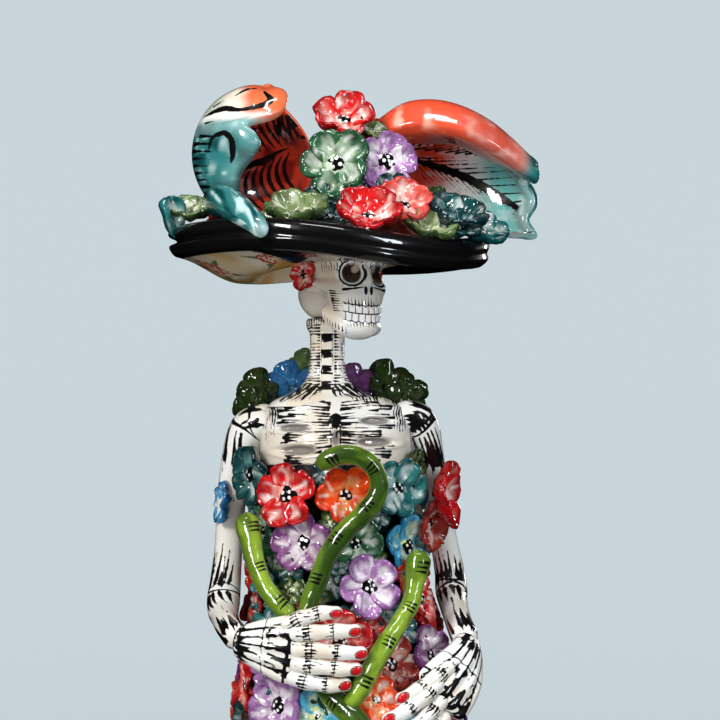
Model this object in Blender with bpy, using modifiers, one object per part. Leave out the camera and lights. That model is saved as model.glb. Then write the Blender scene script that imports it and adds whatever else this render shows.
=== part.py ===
"""Catrina figure: a skeleton lady in a dress of modelled flowers, under a wide plumed hat.

Metres, +Z up. The figure faces -Y, and the origin is on the floor under the middle of its base plate.
Right and left are the figure's own, so its right hand is at -X.
"""

import math

import bmesh
import bpy
from mathutils import Matrix, Vector

# Driving sizes
GAP = 0.0003  # clearance where two pieces meet
BASE_RADIUS = 0.084
BASE_THICKNESS = 0.005
VENT_RADIUS = 0.006
VENT_X = 0.035
WALL = 0.004  # dress wall
CHEST_WALL = 0.003
SKIRT_TOP = 0.2000
BODICE_TOP = 0.3000
FLOWER_HEIGHT = 0.0055
BAND_INNER, BAND_OUTER, BAND_REACH = 0.0010, 0.0060, 0.0060  # strips under the garlands
BAND_STEPS = 18

# Dress sections: height, half width, half depth, middle X
DRESS_SECTIONS = (
    (0.0053, 0.0740, 0.0740, 0.0000),
    (0.0200, 0.0650, 0.0650, 0.0002),
    (0.0400, 0.0560, 0.0560, 0.0006),
    (0.0650, 0.0490, 0.0490, 0.0014),
    (0.1000, 0.0440, 0.0440, 0.0028),
    (0.1400, 0.0415, 0.0410, 0.0042),
    (0.1750, 0.0410, 0.0400, 0.0055),
    (0.2000, 0.0405, 0.0385, 0.0060),
    (0.2200, 0.0380, 0.0345, 0.0050),
    (0.2400, 0.0335, 0.0300, 0.0030),
    (0.2600, 0.0295, 0.0265, 0.0010),
    (0.2800, 0.0295, 0.0255, 0.0000),
    (0.3000, 0.0300, 0.0250, 0.0000),
    (0.3150, 0.0305, 0.0235, 0.0000),
    (0.3250, 0.0300, 0.0205, 0.0000),
    (0.3320, 0.0265, 0.0160, 0.0000),
    (0.3350, 0.0130, 0.0100, -0.0020),
)
CHEST_TOP = DRESS_SECTIONS[-1][0]
DRESS_SIDES = 28

# Neck and head: the head turns about a vertical axis through the neck and lifts off along it
NECK_X, NECK_Y = -0.0035, 0.0020
NECK_TOP = 0.3665
DOWEL_RADIUS = 0.0030
BORE_RADIUS = 0.00315
DOWEL_BOTTOM, DOWEL_TOP = 0.3480, 0.3840
HEAD_YAW = math.radians(32)  # the face looks to the figure's left

# Hat, in its own tilted frame above the neck
HAT_CENTRE = (-0.0030, -0.0060, 0.3892)
HAT_ROLL = math.radians(1.5)  # its left side hangs lower
HAT_PITCH = math.radians(0.5)  # its front hangs lower
BRIM_RADIUS = 0.0640
BRIM_SIDES = 36
PLUME_WALL = 0.0030
CROWN_X = 0.0080
CROWN_OUTLINE = ((0.0125, 0.0066), (0.0120, 0.0200), (0.0100, 0.0340), (0.0070, 0.0450), (0.0030, 0.0480))

PAINTS = {
    "black": (0.012, 0.012, 0.014),
    "bone": (0.86, 0.80, 0.70),
    "wood": (0.55, 0.38, 0.22),
    "red": (0.70, 0.04, 0.05),
    "orange": (0.85, 0.15, 0.03),
    "salmon": (0.85, 0.30, 0.22),
    "purple": (0.42, 0.16, 0.50),
    "lilac": (0.70, 0.50, 0.78),
    "blue": (0.10, 0.38, 0.62),
    "teal": (0.04, 0.32, 0.34),
    "dark_teal": (0.02, 0.14, 0.16),
    "green": (0.12, 0.38, 0.20),
    "olive": (0.30, 0.38, 0.10),
    "stem": (0.20, 0.36, 0.03),
}

PARTS = None  # the collection of finished pieces
HELPERS = None  # the collection of cutters and of pieces that a union takes in


# ---------------------------------------------------------------- scene and object helpers
def clear_scene():
    """An empty scene with one collection for the figure and one for its cutters."""
    global PARTS, HELPERS
    for obj in list(bpy.data.objects):
        bpy.data.objects.remove(obj)
    PARTS = bpy.data.collections.new("catrina_figure")
    HELPERS = bpy.data.collections.new("cutters")
    bpy.context.scene.collection.children.link(PARTS)
    bpy.context.scene.collection.children.link(HELPERS)


def paint(name):
    """The named glossy paint as a Principled material."""
    found = bpy.data.materials.get(name)
    if found:
        return found
    made = bpy.data.materials.new(name)
    made.use_nodes = True
    shader = made.node_tree.nodes["Principled BSDF"]
    shader.inputs["Base Color"].default_value = (*PAINTS[name], 1)
    shader.inputs["Roughness"].default_value = 0.6 if name == "wood" else 0.15
    shader.inputs["Metallic"].default_value = 0.0
    return made


def add_object(name, data, colour, parent=None):
    """A finished piece with its paint, in the figure's collection."""
    obj = bpy.data.objects.new(name, data)
    PARTS.objects.link(obj)
    data.materials.clear()
    data.materials.append(paint(colour))
    obj.parent = parent
    return obj


def as_helper(obj):
    """Turns a piece into a cutter, or into stock for a union."""
    PARTS.objects.unlink(obj)
    HELPERS.objects.link(obj)
    obj.hide_render = True
    obj.display_type = "WIRE"
    return obj


def mesh_from(bm, name):
    """Closes a bmesh into mesh data with its normals facing out."""
    bmesh.ops.recalc_face_normals(bm, faces=bm.faces)
    data = bpy.data.meshes.new(name)
    bm.to_mesh(data)
    bm.free()
    return data


def evaluated_mesh(obj):
    """A new mesh of the object as its modifiers leave it, with loose caps welded."""
    graph = bpy.context.evaluated_depsgraph_get()
    data = bpy.data.meshes.new_from_object(obj.evaluated_get(graph))
    bm = bmesh.new()
    bm.from_mesh(data)
    bmesh.ops.remove_doubles(bm, verts=bm.verts, dist=1e-6)
    bmesh.ops.recalc_face_normals(bm, faces=bm.faces)
    bm.to_mesh(data)
    bm.free()
    return data


def to_mesh_object(obj):
    """Replaces a curve, or an object with modifiers, by the same shape as a plain mesh object."""
    bpy.context.view_layer.update()
    name, matrix, parent = obj.name, obj.matrix_world.copy(), obj.parent
    colour = obj.active_material.name
    data = evaluated_mesh(obj)
    bpy.data.objects.remove(obj)
    made = add_object(name, data, colour, parent)
    made.matrix_world = matrix
    return made


def boolean(obj, other, operation):
    """Adds an exact Boolean with one object or with a collection of them."""
    modifier = obj.modifiers.new(operation.lower(), "BOOLEAN")
    modifier.operation = operation
    modifier.solver = "EXACT"
    if isinstance(other, bpy.types.Collection):
        modifier.operand_type = "COLLECTION"
        modifier.collection = other
    else:
        modifier.object = other
    return obj


def fuse(name, pieces):
    """Joins overlapping pieces into one body called name."""
    stock = bpy.data.collections.new(name + "_stock")
    HELPERS.children.link(stock)
    first = pieces[0]
    for piece in pieces[1:]:
        PARTS.objects.unlink(piece)
        stock.objects.link(piece)
        piece.hide_render = True
        piece.display_type = "WIRE"
    boolean(first, stock, "UNION")
    first.name = name
    return first


def smooth(obj, angle=40):
    """Shades a round piece smooth, keeping its sharp edges."""
    obj.data.shade_smooth()
    obj.data.set_sharp_from_angle(angle=math.radians(angle))
    return obj


# ---------------------------------------------------------------- shape helpers
def blend(table, key):
    """Values of a table of rows at a key in its first column, eased between the rows either side."""
    if key <= table[0][0]:
        return table[0][1:]
    for low, high in zip(table, table[1:]):
        if key <= high[0]:
            share = (key - low[0]) / (high[0] - low[0])
            return tuple(a + (b - a) * share for a, b in zip(low[1:], high[1:]))
    return table[-1][1:]


def oval_ring(centre, half_x, half_y, sides, squareness=1.0):
    """Points round a level oval. A squareness below 1 swells it towards a rounded rectangle."""
    ring = []
    for i in range(sides):
        angle = 2 * math.pi * i / sides
        c, s = math.cos(angle), math.sin(angle)
        x = math.copysign(abs(c) ** squareness, c) * half_x
        y = math.copysign(abs(s) ** squareness, s) * half_y
        ring.append(Vector(centre) + Vector((x, y, 0)))
    return ring


def loft(name, rings, colour, closed=True, parent=None):
    """A skin over rings of equal count, capped at both ends when closed."""
    bm = bmesh.new()
    rows = [[bm.verts.new(p) for p in ring] for ring in rings]
    count = len(rows[0])
    for low, high in zip(rows, rows[1:]):
        for i in range(count):
            j = (i + 1) % count
            bm.faces.new((low[i], low[j], high[j], high[i]))
    if closed:
        bm.faces.new(rows[0][::-1])
        bm.faces.new(rows[-1])
    return smooth(add_object(name, mesh_from(bm, name), colour, parent))


def hollow_loft(name, rings, wall, colour):
    """A skin over level rings with a wall inside it, open at both ends and flat at both rims."""
    inner = []
    for ring in rings:
        middle = sum(ring, Vector()) / len(ring)
        inner.append([middle + (p - middle) * (1 - wall / (p - middle).length) for p in ring])
    return weld(loft(name, [*rings, *inner[::-1], rings[0]], colour, closed=False))


def weld(obj):
    """Sews a ring of sections whose first and last meet."""
    bm = bmesh.new()
    bm.from_mesh(obj.data)
    bmesh.ops.remove_doubles(bm, verts=bm.verts, dist=1e-7)
    bmesh.ops.recalc_face_normals(bm, faces=bm.faces)
    bm.to_mesh(obj.data)
    bm.free()
    return obj


def sheet(name, point, columns, rows, colour, parent=None):
    """An open sheet from a function of two shares, each from 0 to 1."""
    bm = bmesh.new()
    bmesh.ops.create_grid(bm, x_segments=columns, y_segments=rows, size=0.5)
    for vert in bm.verts:
        vert.co = point(vert.co.x + 0.5, vert.co.y + 0.5)
    data = bpy.data.meshes.new(name)
    bm.to_mesh(data)
    bm.free()
    return smooth(add_object(name, data, colour, parent))


def solidify(obj, thickness, offset=-1):
    """Gives an open surface a wall."""
    modifier = obj.modifiers.new("wall", "SOLIDIFY")
    modifier.thickness = thickness
    modifier.offset = offset
    modifier.use_even_offset = True
    return obj


def tube(name, points, radii, colour, sides=2, parent=None):
    """A rod along points whose radius follows radii."""
    curve = bpy.data.curves.new(name, "CURVE")
    curve.dimensions = "3D"
    curve.bevel_depth = 1.0
    curve.bevel_resolution = sides
    curve.use_fill_caps = True
    spline = curve.splines.new("POLY")
    spline.points.add(len(points) - 1)
    for spot, place, radius in zip(spline.points, points, radii):
        spot.co = (*place, 1)
        spot.radius = radius
    return to_mesh_object(add_object(name, curve, colour, parent))


def smooth_line(points, steps):
    """Points spaced along a Catmull-Rom curve through the given ones. Each may carry extra values."""
    points = [Vector(p) for p in points]
    padded = [points[0], *points, points[-1]]
    made = []
    for a, b, c, d in zip(padded, padded[1:], padded[2:], padded[3:]):
        for i in range(steps):
            t = i / steps
            made.append(
                0.5 * (2 * b + (c - a) * t + (2 * a - 5 * b + 4 * c - d) * t**2
                       + (3 * b - a - 3 * c + d) * t**3)
            )
    return [*made, points[-1]]


def cylinder(name, radius, low, high, x, y, colour, sides=16, parent=None):
    """An upright round bar between two heights."""
    bm = bmesh.new()
    bmesh.ops.create_cone(
        bm, cap_ends=True, segments=sides, radius1=radius, radius2=radius, depth=high - low
    )
    bmesh.ops.translate(bm, verts=bm.verts, vec=(x, y, (low + high) / 2))
    return smooth(add_object(name, mesh_from(bm, name), colour, parent))


# ---------------------------------------------------------------- flowers
def flower(name, place, facing, radius, colour, spin=0.0, detail=3, parent=None, height=FLOWER_HEIGHT):
    """A five-petalled flower whose flat back is at place and whose face looks along facing."""
    petals, notch, dish = 5, 0.30 if detail > 2 else 0.18, 0.35
    bm = bmesh.new()
    bmesh.ops.create_cone(
        bm, cap_ends=True, segments=petals * detail, radius1=radius * 0.86, radius2=radius, depth=height
    )
    first = next(iter(bm.verts)).co
    phase = math.atan2(first.y, first.x)
    for vert in bm.verts:
        turn = petals * (math.atan2(vert.co.y, vert.co.x) - phase)
        share = 1 - notch * max(0, math.cos(turn))
        vert.co.x *= share
        vert.co.y *= share
        vert.co.z += height / 2
    front = max(bm.faces, key=lambda face: face.calc_center_median().z)
    poked = bmesh.ops.poke(bm, faces=[front])
    poked["verts"][0].co.z -= dish * height
    obj = add_object(name, mesh_from(bm, name), colour, parent)
    turn = Vector(facing).normalized().to_track_quat("Z", "Y").to_matrix().to_4x4()
    obj.matrix_local = Matrix.Translation(place) @ turn @ Matrix.Rotation(spin, 4, "Z")
    return obj


def dress_point(angle, height):
    """A point on the dress. Angle 0 is the figure's left, 90 degrees its back, 270 its front."""
    half_x, half_y, middle = blend(DRESS_SECTIONS, height)
    return Vector((middle + half_x * math.cos(angle), half_y * math.sin(angle), height))


def dress_normal(angle, height, step=0.004):
    """The dress's outward direction, averaged over a few millimetres."""
    across = dress_point(angle + step / 0.04, height) - dress_point(angle - step / 0.04, height)
    up = dress_point(angle, height + step) - dress_point(angle, height - step)
    return across.cross(up).normalized()


def front_angle(x, height):
    """The angle at which the dress's front has this X, kept short of its sides."""
    half_x, _, middle = blend(DRESS_SECTIONS, height)
    share = max(-0.97, min(0.97, (x - middle) / half_x))
    return -math.acos(share)


def depth_inside_dress(point):
    """How far a point lies under the dress's surface. It is negative outside."""
    half_x, half_y, middle = blend(DRESS_SECTIONS, point.z)
    share = math.hypot((point.x - middle) / half_x, point.y / half_y)
    return (1 - share) * min(half_x, half_y)


def seat(angle, height, radius, lift=0.0):
    """Where a flower's back goes so that its whole outline clears the dress, and which way it faces."""
    place, facing = dress_point(angle, height), dress_normal(angle, height)
    side = facing.orthogonal().normalized()
    samples = 12
    deepest = 0.0
    for i in range(samples):
        rim = Matrix.Rotation(2 * math.pi * i / samples, 3, facing) @ side * radius
        deepest = max(deepest, depth_inside_dress(place + rim))
    return place + facing * (2 * GAP + 1.1 * deepest + lift), facing


# Front flowers: name, X, height, radius, paint, extra lift
FRONT_FLOWERS = (
    ("flower_dark_teal_bust", -0.0265, 0.3060, 0.0105, "dark_teal", 0.0),
    ("flower_red_bust", -0.0120, 0.2960, 0.0119, "red", 0.0030),
    ("flower_orange_bust", 0.0050, 0.2960, 0.0099, "orange", 0.0),
    ("flower_teal_bust", 0.0215, 0.2985, 0.0110, "teal", 0.0006),
    ("flower_purple_waist", -0.0110, 0.2740, 0.0111, "purple", 0.0),
    ("flower_olive_side", -0.0270, 0.2845, 0.0105, "olive", 0.0),
    ("flower_green_waist", 0.0085, 0.2755, 0.0101, "green", 0.0),
    ("flower_blue_waist", 0.0250, 0.2755, 0.0116, "blue", 0.0),
    ("flower_lilac_waist", 0.0110, 0.2540, 0.0110, "lilac", 0.0),
    ("flower_red_side", 0.0275, 0.2535, 0.0098, "red", 0.0),
    ("flower_red_middle", 0.0010, 0.2350, 0.0113, "red", 0.0),
    ("flower_purple_side", 0.0330, 0.2315, 0.0106, "purple", 0.0),
    ("flower_rust_hip", 0.0200, 0.2300, 0.0104, "salmon", 0.0),
    ("flower_teal_side", -0.0225, 0.2400, 0.0110, "teal", 0.0),
    ("flower_red_hip", -0.0300, 0.2190, 0.0108, "red", 0.0),
    ("flower_lilac_hip", -0.0150, 0.2140, 0.0116, "lilac", 0.0),
    ("flower_blue_hip", 0.0185, 0.2105, 0.0105, "blue", 0.0),
)


def front_flowers():
    """The flowers that the figure holds its hands over."""
    for index, (name, x, height, radius, colour, lift) in enumerate(FRONT_FLOWERS):
        place, facing = seat(front_angle(x, height), height, radius, lift)
        flower(name, place, facing, radius, colour, spin=0.4 * index)


def band(name, low, high, colour, start, turn):
    """A strip round the dress that a garland's flowers grow from. A full turn closes on itself."""
    whole = turn > 6.28
    steps = max(5, round(BAND_STEPS * turn / (2 * math.pi)))
    rings = []
    for i in range(steps if whole else steps + 1):
        angle = start + turn * i / steps
        ring = []
        for height, lift in ((low, BAND_INNER), (low, BAND_OUTER), (high, BAND_OUTER), (high, BAND_INNER)):
            ring.append(dress_point(angle, height) + dress_normal(angle, (low + high) / 2) * lift)
        rings.append(ring)
    if whole:
        rings.append(rings[0])
    obj = loft(name, rings, colour, closed=not whole)
    return weld(obj) if whole else obj


def garland(name, rows, colour, start, turn):
    """Rows of flowers round the dress on one band, made one body. A row is height, count and radius."""
    heights = [row[0] for row in rows]
    whole = turn > 6.28
    inset = 0 if whole else 0.5 * turn / rows[0][1]
    pieces = [band(name, min(heights) - BAND_REACH, max(heights) + BAND_REACH, colour,
                   start + inset, turn - 2 * inset)]
    for row, (height, count, radius) in enumerate(rows):
        for i in range(count):
            angle = start + turn * (i + 0.5 + (0.5 * row if whole else 0)) / count
            place, facing = seat(angle, height, radius)
            label = f"{name}_{row}_{i}"
            pieces.append(flower(label, place, facing, radius, colour, spin=0.5 * i + row, detail=2))
    return fuse(name, pieces)


# Garlands: name, rows of height, count and radius, paint, then start and turn in degrees
GARLANDS = (
    ("garland_hip", ((0.1850, 10, 0.0150),), "purple", 0, 360),
    ("garland_thigh", ((0.1540, 9, 0.0160),), "teal", 20, 360),
    ("garland_knee", ((0.1210, 9, 0.0165),), "red", 0, 360),
    ("garland_calf", ((0.0860, 10, 0.0170),), "salmon", 18, 360),
    ("garland_hem", ((0.0480, 12, 0.0175),), "olive", 0, 360),
    ("garland_back_chest", ((0.3090, 4, 0.0125), (0.2890, 4, 0.0120)), "blue", 28, 124),
    ("garland_back_waist", ((0.2640, 5, 0.0125), (0.2430, 4, 0.0125)), "orange", 8, 164),
    ("garland_back_hip", ((0.2160, 6, 0.0130),), "green", 4, 172),
)


def garlands():
    """The flowers all round the skirt, and those over the back."""
    for name, rows, colour, start, turn in GARLANDS:
        garland(name, rows, colour, math.radians(start), math.radians(turn))


# ---------------------------------------------------------------- body
def section_ring(height):
    """The dress's outline at a height."""
    return [dress_point(2 * math.pi * i / DRESS_SIDES, height) for i in range(DRESS_SIDES)]


def base_and_skirt():
    """The base plate with its vent, the rolled hem, the hollow skirt and the hollow bodice."""
    plate = cylinder("base_plate", BASE_RADIUS, 0, BASE_THICKNESS, 0, 0, "black", sides=40)
    vent = cylinder("vent_cutter", VENT_RADIUS, -0.01, 0.02, VENT_X, 0, "black")
    boolean(plate, as_helper(vent), "DIFFERENCE")

    hem_low = BASE_THICKNESS + GAP
    hem_outline = ((0.0746, 0), (0.0805, 0.0006), (0.0822, 0.0040), (0.0800, 0.0078), (0.0745, 0.0092),
                   (0.0694, 0.0088))
    rings = [oval_ring((0, 0, hem_low + z), r, r, 40) for r, z in hem_outline]
    weld(loft("hem_roll", [*rings, rings[0]], "black", closed=False))

    skirt_heights = [row[0] for row in DRESS_SECTIONS if row[0] < SKIRT_TOP] + [SKIRT_TOP - GAP / 2]
    hollow_loft("skirt_shell", [section_ring(z) for z in skirt_heights], WALL, "black")

    bodice_heights = [SKIRT_TOP + GAP / 2]
    bodice_heights += [row[0] for row in DRESS_SECTIONS if SKIRT_TOP < row[0] < BODICE_TOP]
    bodice_heights.append(BODICE_TOP - GAP / 2)
    hollow_loft("bodice_shell", [section_ring(z) for z in bodice_heights], WALL, "black")


def rib_cage():
    """The chest: a hollow shell with oval gaps between its ribs."""
    heights = [BODICE_TOP + GAP / 2] + [row[0] for row in DRESS_SECTIONS if row[0] > BODICE_TOP]
    chest = hollow_loft("rib_cage", [section_ring(z) for z in heights], CHEST_WALL, "bone")
    for side in (-1, 1):
        for height, reach in ((0.3255, 0.0145), (0.3175, 0.0150)):
            bm = bmesh.new()
            bmesh.ops.create_uvsphere(bm, u_segments=12, v_segments=6, radius=1)
            bmesh.ops.scale(bm, verts=bm.verts, vec=(0.0068, 0.012, 0.0023))
            bmesh.ops.translate(bm, verts=bm.verts, vec=(side * reach, -0.020, height))
            cutter = add_object("rib_gap", mesh_from(bm, "rib_gap"), "bone")
            boolean(chest, as_helper(cutter), "DIFFERENCE")


def neck():
    """The square neck with its collar, bored for the dowel that carries the head."""
    outline = (
        (CHEST_TOP + GAP, 0.0125, 0.0098),
        (0.3385, 0.0092, 0.0082),
        (0.3430, 0.0074, 0.0072),
        (0.3600, 0.0070, 0.0070),
        (0.3625, 0.0080, 0.0080),
        (0.3655, 0.0084, 0.0084),
        (NECK_TOP, 0.0078, 0.0078),
    )
    rings = [oval_ring((NECK_X, NECK_Y * min(1, (z - CHEST_TOP) / 0.008), z), a, b, 20, 0.7)
             for z, a, b in outline]
    column = loft("neck_column", rings, "bone")
    bore = cylinder("bore_cutter", BORE_RADIUS, DOWEL_BOTTOM - GAP, NECK_TOP + 0.01, NECK_X, NECK_Y, "bone")
    boolean(column, as_helper(bore), "DIFFERENCE")


# Arms: points from shoulder to past the elbow, then from there to the wrist, with their radii
ARMS = {
    "right": (
        ((-0.0355, 0.0030, 0.3315), (-0.0372, 0.0030, 0.3245), (-0.0392, 0.0050, 0.3080),
         (-0.0420, 0.0060, 0.2850), (-0.0450, 0.0040, 0.2640), (-0.0468, -0.0010, 0.2530),
         (-0.0468, -0.0080, 0.2475)),
        ((-0.0464, -0.0116, 0.2460), (-0.0440, -0.0240, 0.2425), (-0.0405, -0.0385, 0.2390)),
    ),
    "left": (
        ((0.0355, 0.0030, 0.3315), (0.0372, 0.0030, 0.3245), (0.0395, 0.0090, 0.3080),
         (0.0425, 0.0170, 0.2870), (0.0455, 0.0225, 0.2710), (0.0472, 0.0200, 0.2610),
         (0.0480, 0.0140, 0.2560)),
        ((0.0484, 0.0104, 0.2540), (0.0505, -0.0060, 0.2470), (0.0530, -0.0225, 0.2405)),
    ),
}
UPPER_RADII = (0.0034, 0.0066, 0.0060, 0.0058, 0.0054, 0.0060, 0.0054)
FOREARM_RADII = (0.0055, 0.0060, 0.0056)


def arms():
    """Upper arms that turn the elbow, and the forearms that carry on from them."""
    for side, (upper, lower) in ARMS.items():
        for label, points, radii in (("upper_arm", upper, UPPER_RADII), ("forearm", lower, FOREARM_RADII)):
            line = smooth_line([(*p, r) for p, r in zip(points, radii)], 3)
            smooth(tube(f"{side}_{label}", [p[:3] for p in line], [p[3] for p in line], "bone"))


# Hands: the palm's middle line with its half width and half thickness, then each finger's points
HANDS = {
    "right": {
        "palm": (((-0.0392, -0.0415, 0.2385), 0.0075, 0.0045), ((-0.0330, -0.0455, 0.2378), 0.0110, 0.0042),
                 ((-0.0230, -0.0490, 0.2362), 0.0135, 0.0036), ((-0.0130, -0.0505, 0.2345), 0.0140, 0.0034)),
        "across": (0.12, 0.0, 1.0),
        "fingers": (
            ((-0.0185, -0.0500, 0.2460), (-0.0080, -0.0510, 0.2485), (0.0040, -0.0500, 0.2482)),
            ((-0.0150, -0.0505, 0.2430), (-0.0020, -0.0520, 0.2425), (0.0095, -0.0505, 0.2432)),
            ((-0.0145, -0.0505, 0.2365), (-0.0010, -0.0525, 0.2350), (0.0125, -0.0505, 0.2350)),
            ((-0.0145, -0.0505, 0.2300), (-0.0020, -0.0525, 0.2280), (0.0105, -0.0505, 0.2272)),
            ((-0.0155, -0.0500, 0.2245), (-0.0060, -0.0515, 0.2212), (0.0045, -0.0500, 0.2200)),
        ),
    },
    "left": {
        "palm": (((0.0528, -0.0258, 0.2385), 0.0068, 0.0045), ((0.0520, -0.0320, 0.2345), 0.0095, 0.0042),
                 ((0.0470, -0.0400, 0.2265), 0.0125, 0.0036), ((0.0400, -0.0465, 0.2180), 0.0135, 0.0034)),
        "across": (0.50, 0.0, -0.87),
        "fingers": (
            ((0.0440, -0.0425, 0.2290), (0.0340, -0.0495, 0.2235), (0.0235, -0.0530, 0.2180)),
            ((0.0390, -0.0470, 0.2240), (0.0300, -0.0535, 0.2165), (0.0185, -0.0550, 0.2105)),
            ((0.0415, -0.0465, 0.2170), (0.0320, -0.0535, 0.2090), (0.0205, -0.0550, 0.2030)),
            ((0.0440, -0.0455, 0.2115), (0.0350, -0.0520, 0.2030), (0.0245, -0.0540, 0.1965)),
        ),
    },
}
FINGER_RADII = (0.0034, 0.0034, 0.0026)


def flat_ring(centre, across, through, half_across, half_through, sides=12):
    """An oval of points about a centre, in the plane of two directions."""
    ring = []
    for i in range(sides):
        angle = 2 * math.pi * i / sides
        ring.append(
            Vector(centre) + across * half_across * math.cos(angle) + through * half_through * math.sin(angle)
        )
    return ring


def hands():
    """Each hand: a flat palm with its fingers joined to it."""
    for side, shape in HANDS.items():
        centres = [Vector(row[0]) for row in shape["palm"]]
        rings = []
        for i, (_, width, thickness) in enumerate(shape["palm"]):
            along = centres[min(i + 1, len(centres) - 1)] - centres[max(i - 1, 0)]
            across = Vector(shape["across"])
            across = (across - along.normalized() * across.dot(along.normalized())).normalized()
            through = along.normalized().cross(across)
            rings.append(flat_ring(centres[i], across, through, width, thickness))
        pieces = [loft(f"{side}_hand", rings, "bone")]
        for i, points in enumerate(shape["fingers"]):
            line = smooth_line([(*p, r) for p, r in zip(points, FINGER_RADII)], 3)
            tip = line[-1] + (line[-1] - line[-2]).normalized() * 0.0016
            tip[3] = 0.0012
            line.append(tip)
            pieces.append(tube(f"{side}_finger_{i}", [p[:3] for p in line], [p[3] for p in line], "bone"))
        smooth(fuse(f"{side}_hand", pieces))


# Stems: X, Y, Z and radius of the middle line
STEMS = {
    "stem_long": (
        (-0.0050, -0.0385, 0.3055, 0.0030), (-0.0010, -0.0395, 0.3090, 0.0045), (0.0060, -0.0400, 0.3110, 0.0043),
        (0.0135, -0.0390, 0.3075, 0.0043), (0.0160, -0.0385, 0.2990, 0.0044), (0.0140, -0.0390, 0.2890, 0.0045),
        (0.0085, -0.0395, 0.2790, 0.0045), (0.0020, -0.0390, 0.2690, 0.0044), (-0.0045, -0.0385, 0.2590, 0.0042),
        (-0.0095, -0.0390, 0.2530, 0.0038), (-0.0110, -0.0402, 0.2460, 0.0034), (-0.0095, -0.0412, 0.2360, 0.0032),
        (-0.0030, -0.0425, 0.2240, 0.0036), (0.0010, -0.0430, 0.2160, 0.0038), (0.0045, -0.0470, 0.2070, 0.0038),
        (0.0065, -0.0500, 0.1990, 0.0034),
    ),
    "stem_right": (
        (-0.0335, -0.0250, 0.2895, 0.0036), (-0.0340, -0.0270, 0.2835, 0.0048), (-0.0315, -0.0310, 0.2730, 0.0042),
        (-0.0275, -0.0350, 0.2630, 0.0040), (-0.0215, -0.0390, 0.2555, 0.0038),
    ),
    "stem_left": (
        (0.0325, -0.0280, 0.2690, 0.0038), (0.0325, -0.0300, 0.2640, 0.0050), (0.0305, -0.0330, 0.2540, 0.0038),
        (0.0265, -0.0380, 0.2430, 0.0038), (0.0195, -0.0440, 0.2310, 0.0040), (0.0125, -0.0470, 0.2210, 0.0036),
    ),
}


def stems():
    """The green stems of the bouquet, which pass over the flowers and under the right hand."""
    for name, rows in STEMS.items():
        line = smooth_line([Vector(row) for row in rows], 2)
        smooth(tube(name, [p[:3] for p in line], [p[3] for p in line], "stem"))


# Flowers over the shoulders: X, Y, height, radius
SHAWL = ((-0.0300, 0.0150, 0.3300, 0.0105), (-0.0170, 0.0205, 0.3350, 0.0110), (-0.0060, 0.0225, 0.3420, 0.0095),
         (0.0050, 0.0225, 0.3360, 0.0105), (0.0180, 0.0200, 0.3350, 0.0105), (0.0290, 0.0150, 0.3320, 0.0095))


def shawl():
    """The flowers across the top of the back, whose petals show over the shoulders, and one on each arm."""
    pieces = [
        flower(f"shawl_{i}", (x, y, z), (x * 14, 1, 0.25), radius, "green", spin=i, detail=3)
        for i, (x, y, z, radius) in enumerate(SHAWL)
    ]
    fuse("garland_shawl", pieces)
    flower("flower_left_arm", (0.0455, 0.0055, 0.2945), (0.75, -0.65, 0.1), 0.0105, "red", spin=0.3)
    flower("flower_right_arm", (-0.0420, -0.0022, 0.2960), (-0.45, -0.9, 0.1), 0.0075, "blue", spin=0.3)


# ---------------------------------------------------------------- head
# Skull sections in the head's frame, face towards -Y: height, half width, front Y, back Y
SKULL_SECTIONS = (
    (0.3572, 0.0055, -0.0280, -0.0200),
    (0.3590, 0.0085, -0.0300, -0.0165),
    (0.3630, 0.0108, -0.0312, -0.0135),
    (0.3667, 0.0120, -0.0316, -0.0122),
    (0.3676, 0.0124, -0.0317, 0.0020),
    (0.3710, 0.0130, -0.0312, 0.0060),
    (0.3755, 0.0146, -0.0300, 0.0085),
    (0.3800, 0.0154, -0.0306, 0.0100),
    (0.3850, 0.0158, -0.0306, 0.0108),
    (0.3900, 0.0160, -0.0306, 0.0112),
    (0.3960, 0.0160, -0.0300, 0.0112),
)
EYE_SOCKETS = ((-0.0066, -0.0330, 0.3832), (0.0066, -0.0330, 0.3832))
EYE_SOCKET_RADIUS = 0.0056
NOSE = (0.0, -0.0325, 0.3755)
SKULL_SIDES = 24


def head_frame():
    """The empty on the head's turning axis."""
    axis = bpy.data.objects.new("head_axis", None)
    PARTS.objects.link(axis)
    axis.location = (NECK_X, NECK_Y, 0)
    bpy.context.view_layer.update()
    return axis


def hat_frame(axis):
    """The empty that carries the hat's tilt. It turns and lifts with the head."""
    frame = bpy.data.objects.new("hat_frame", None)
    PARTS.objects.link(frame)
    frame.parent = axis
    frame.location = Vector(HAT_CENTRE) - axis.location
    frame.rotation_euler = (HAT_PITCH, HAT_ROLL, 0)
    bpy.context.view_layer.update()
    return frame


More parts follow.
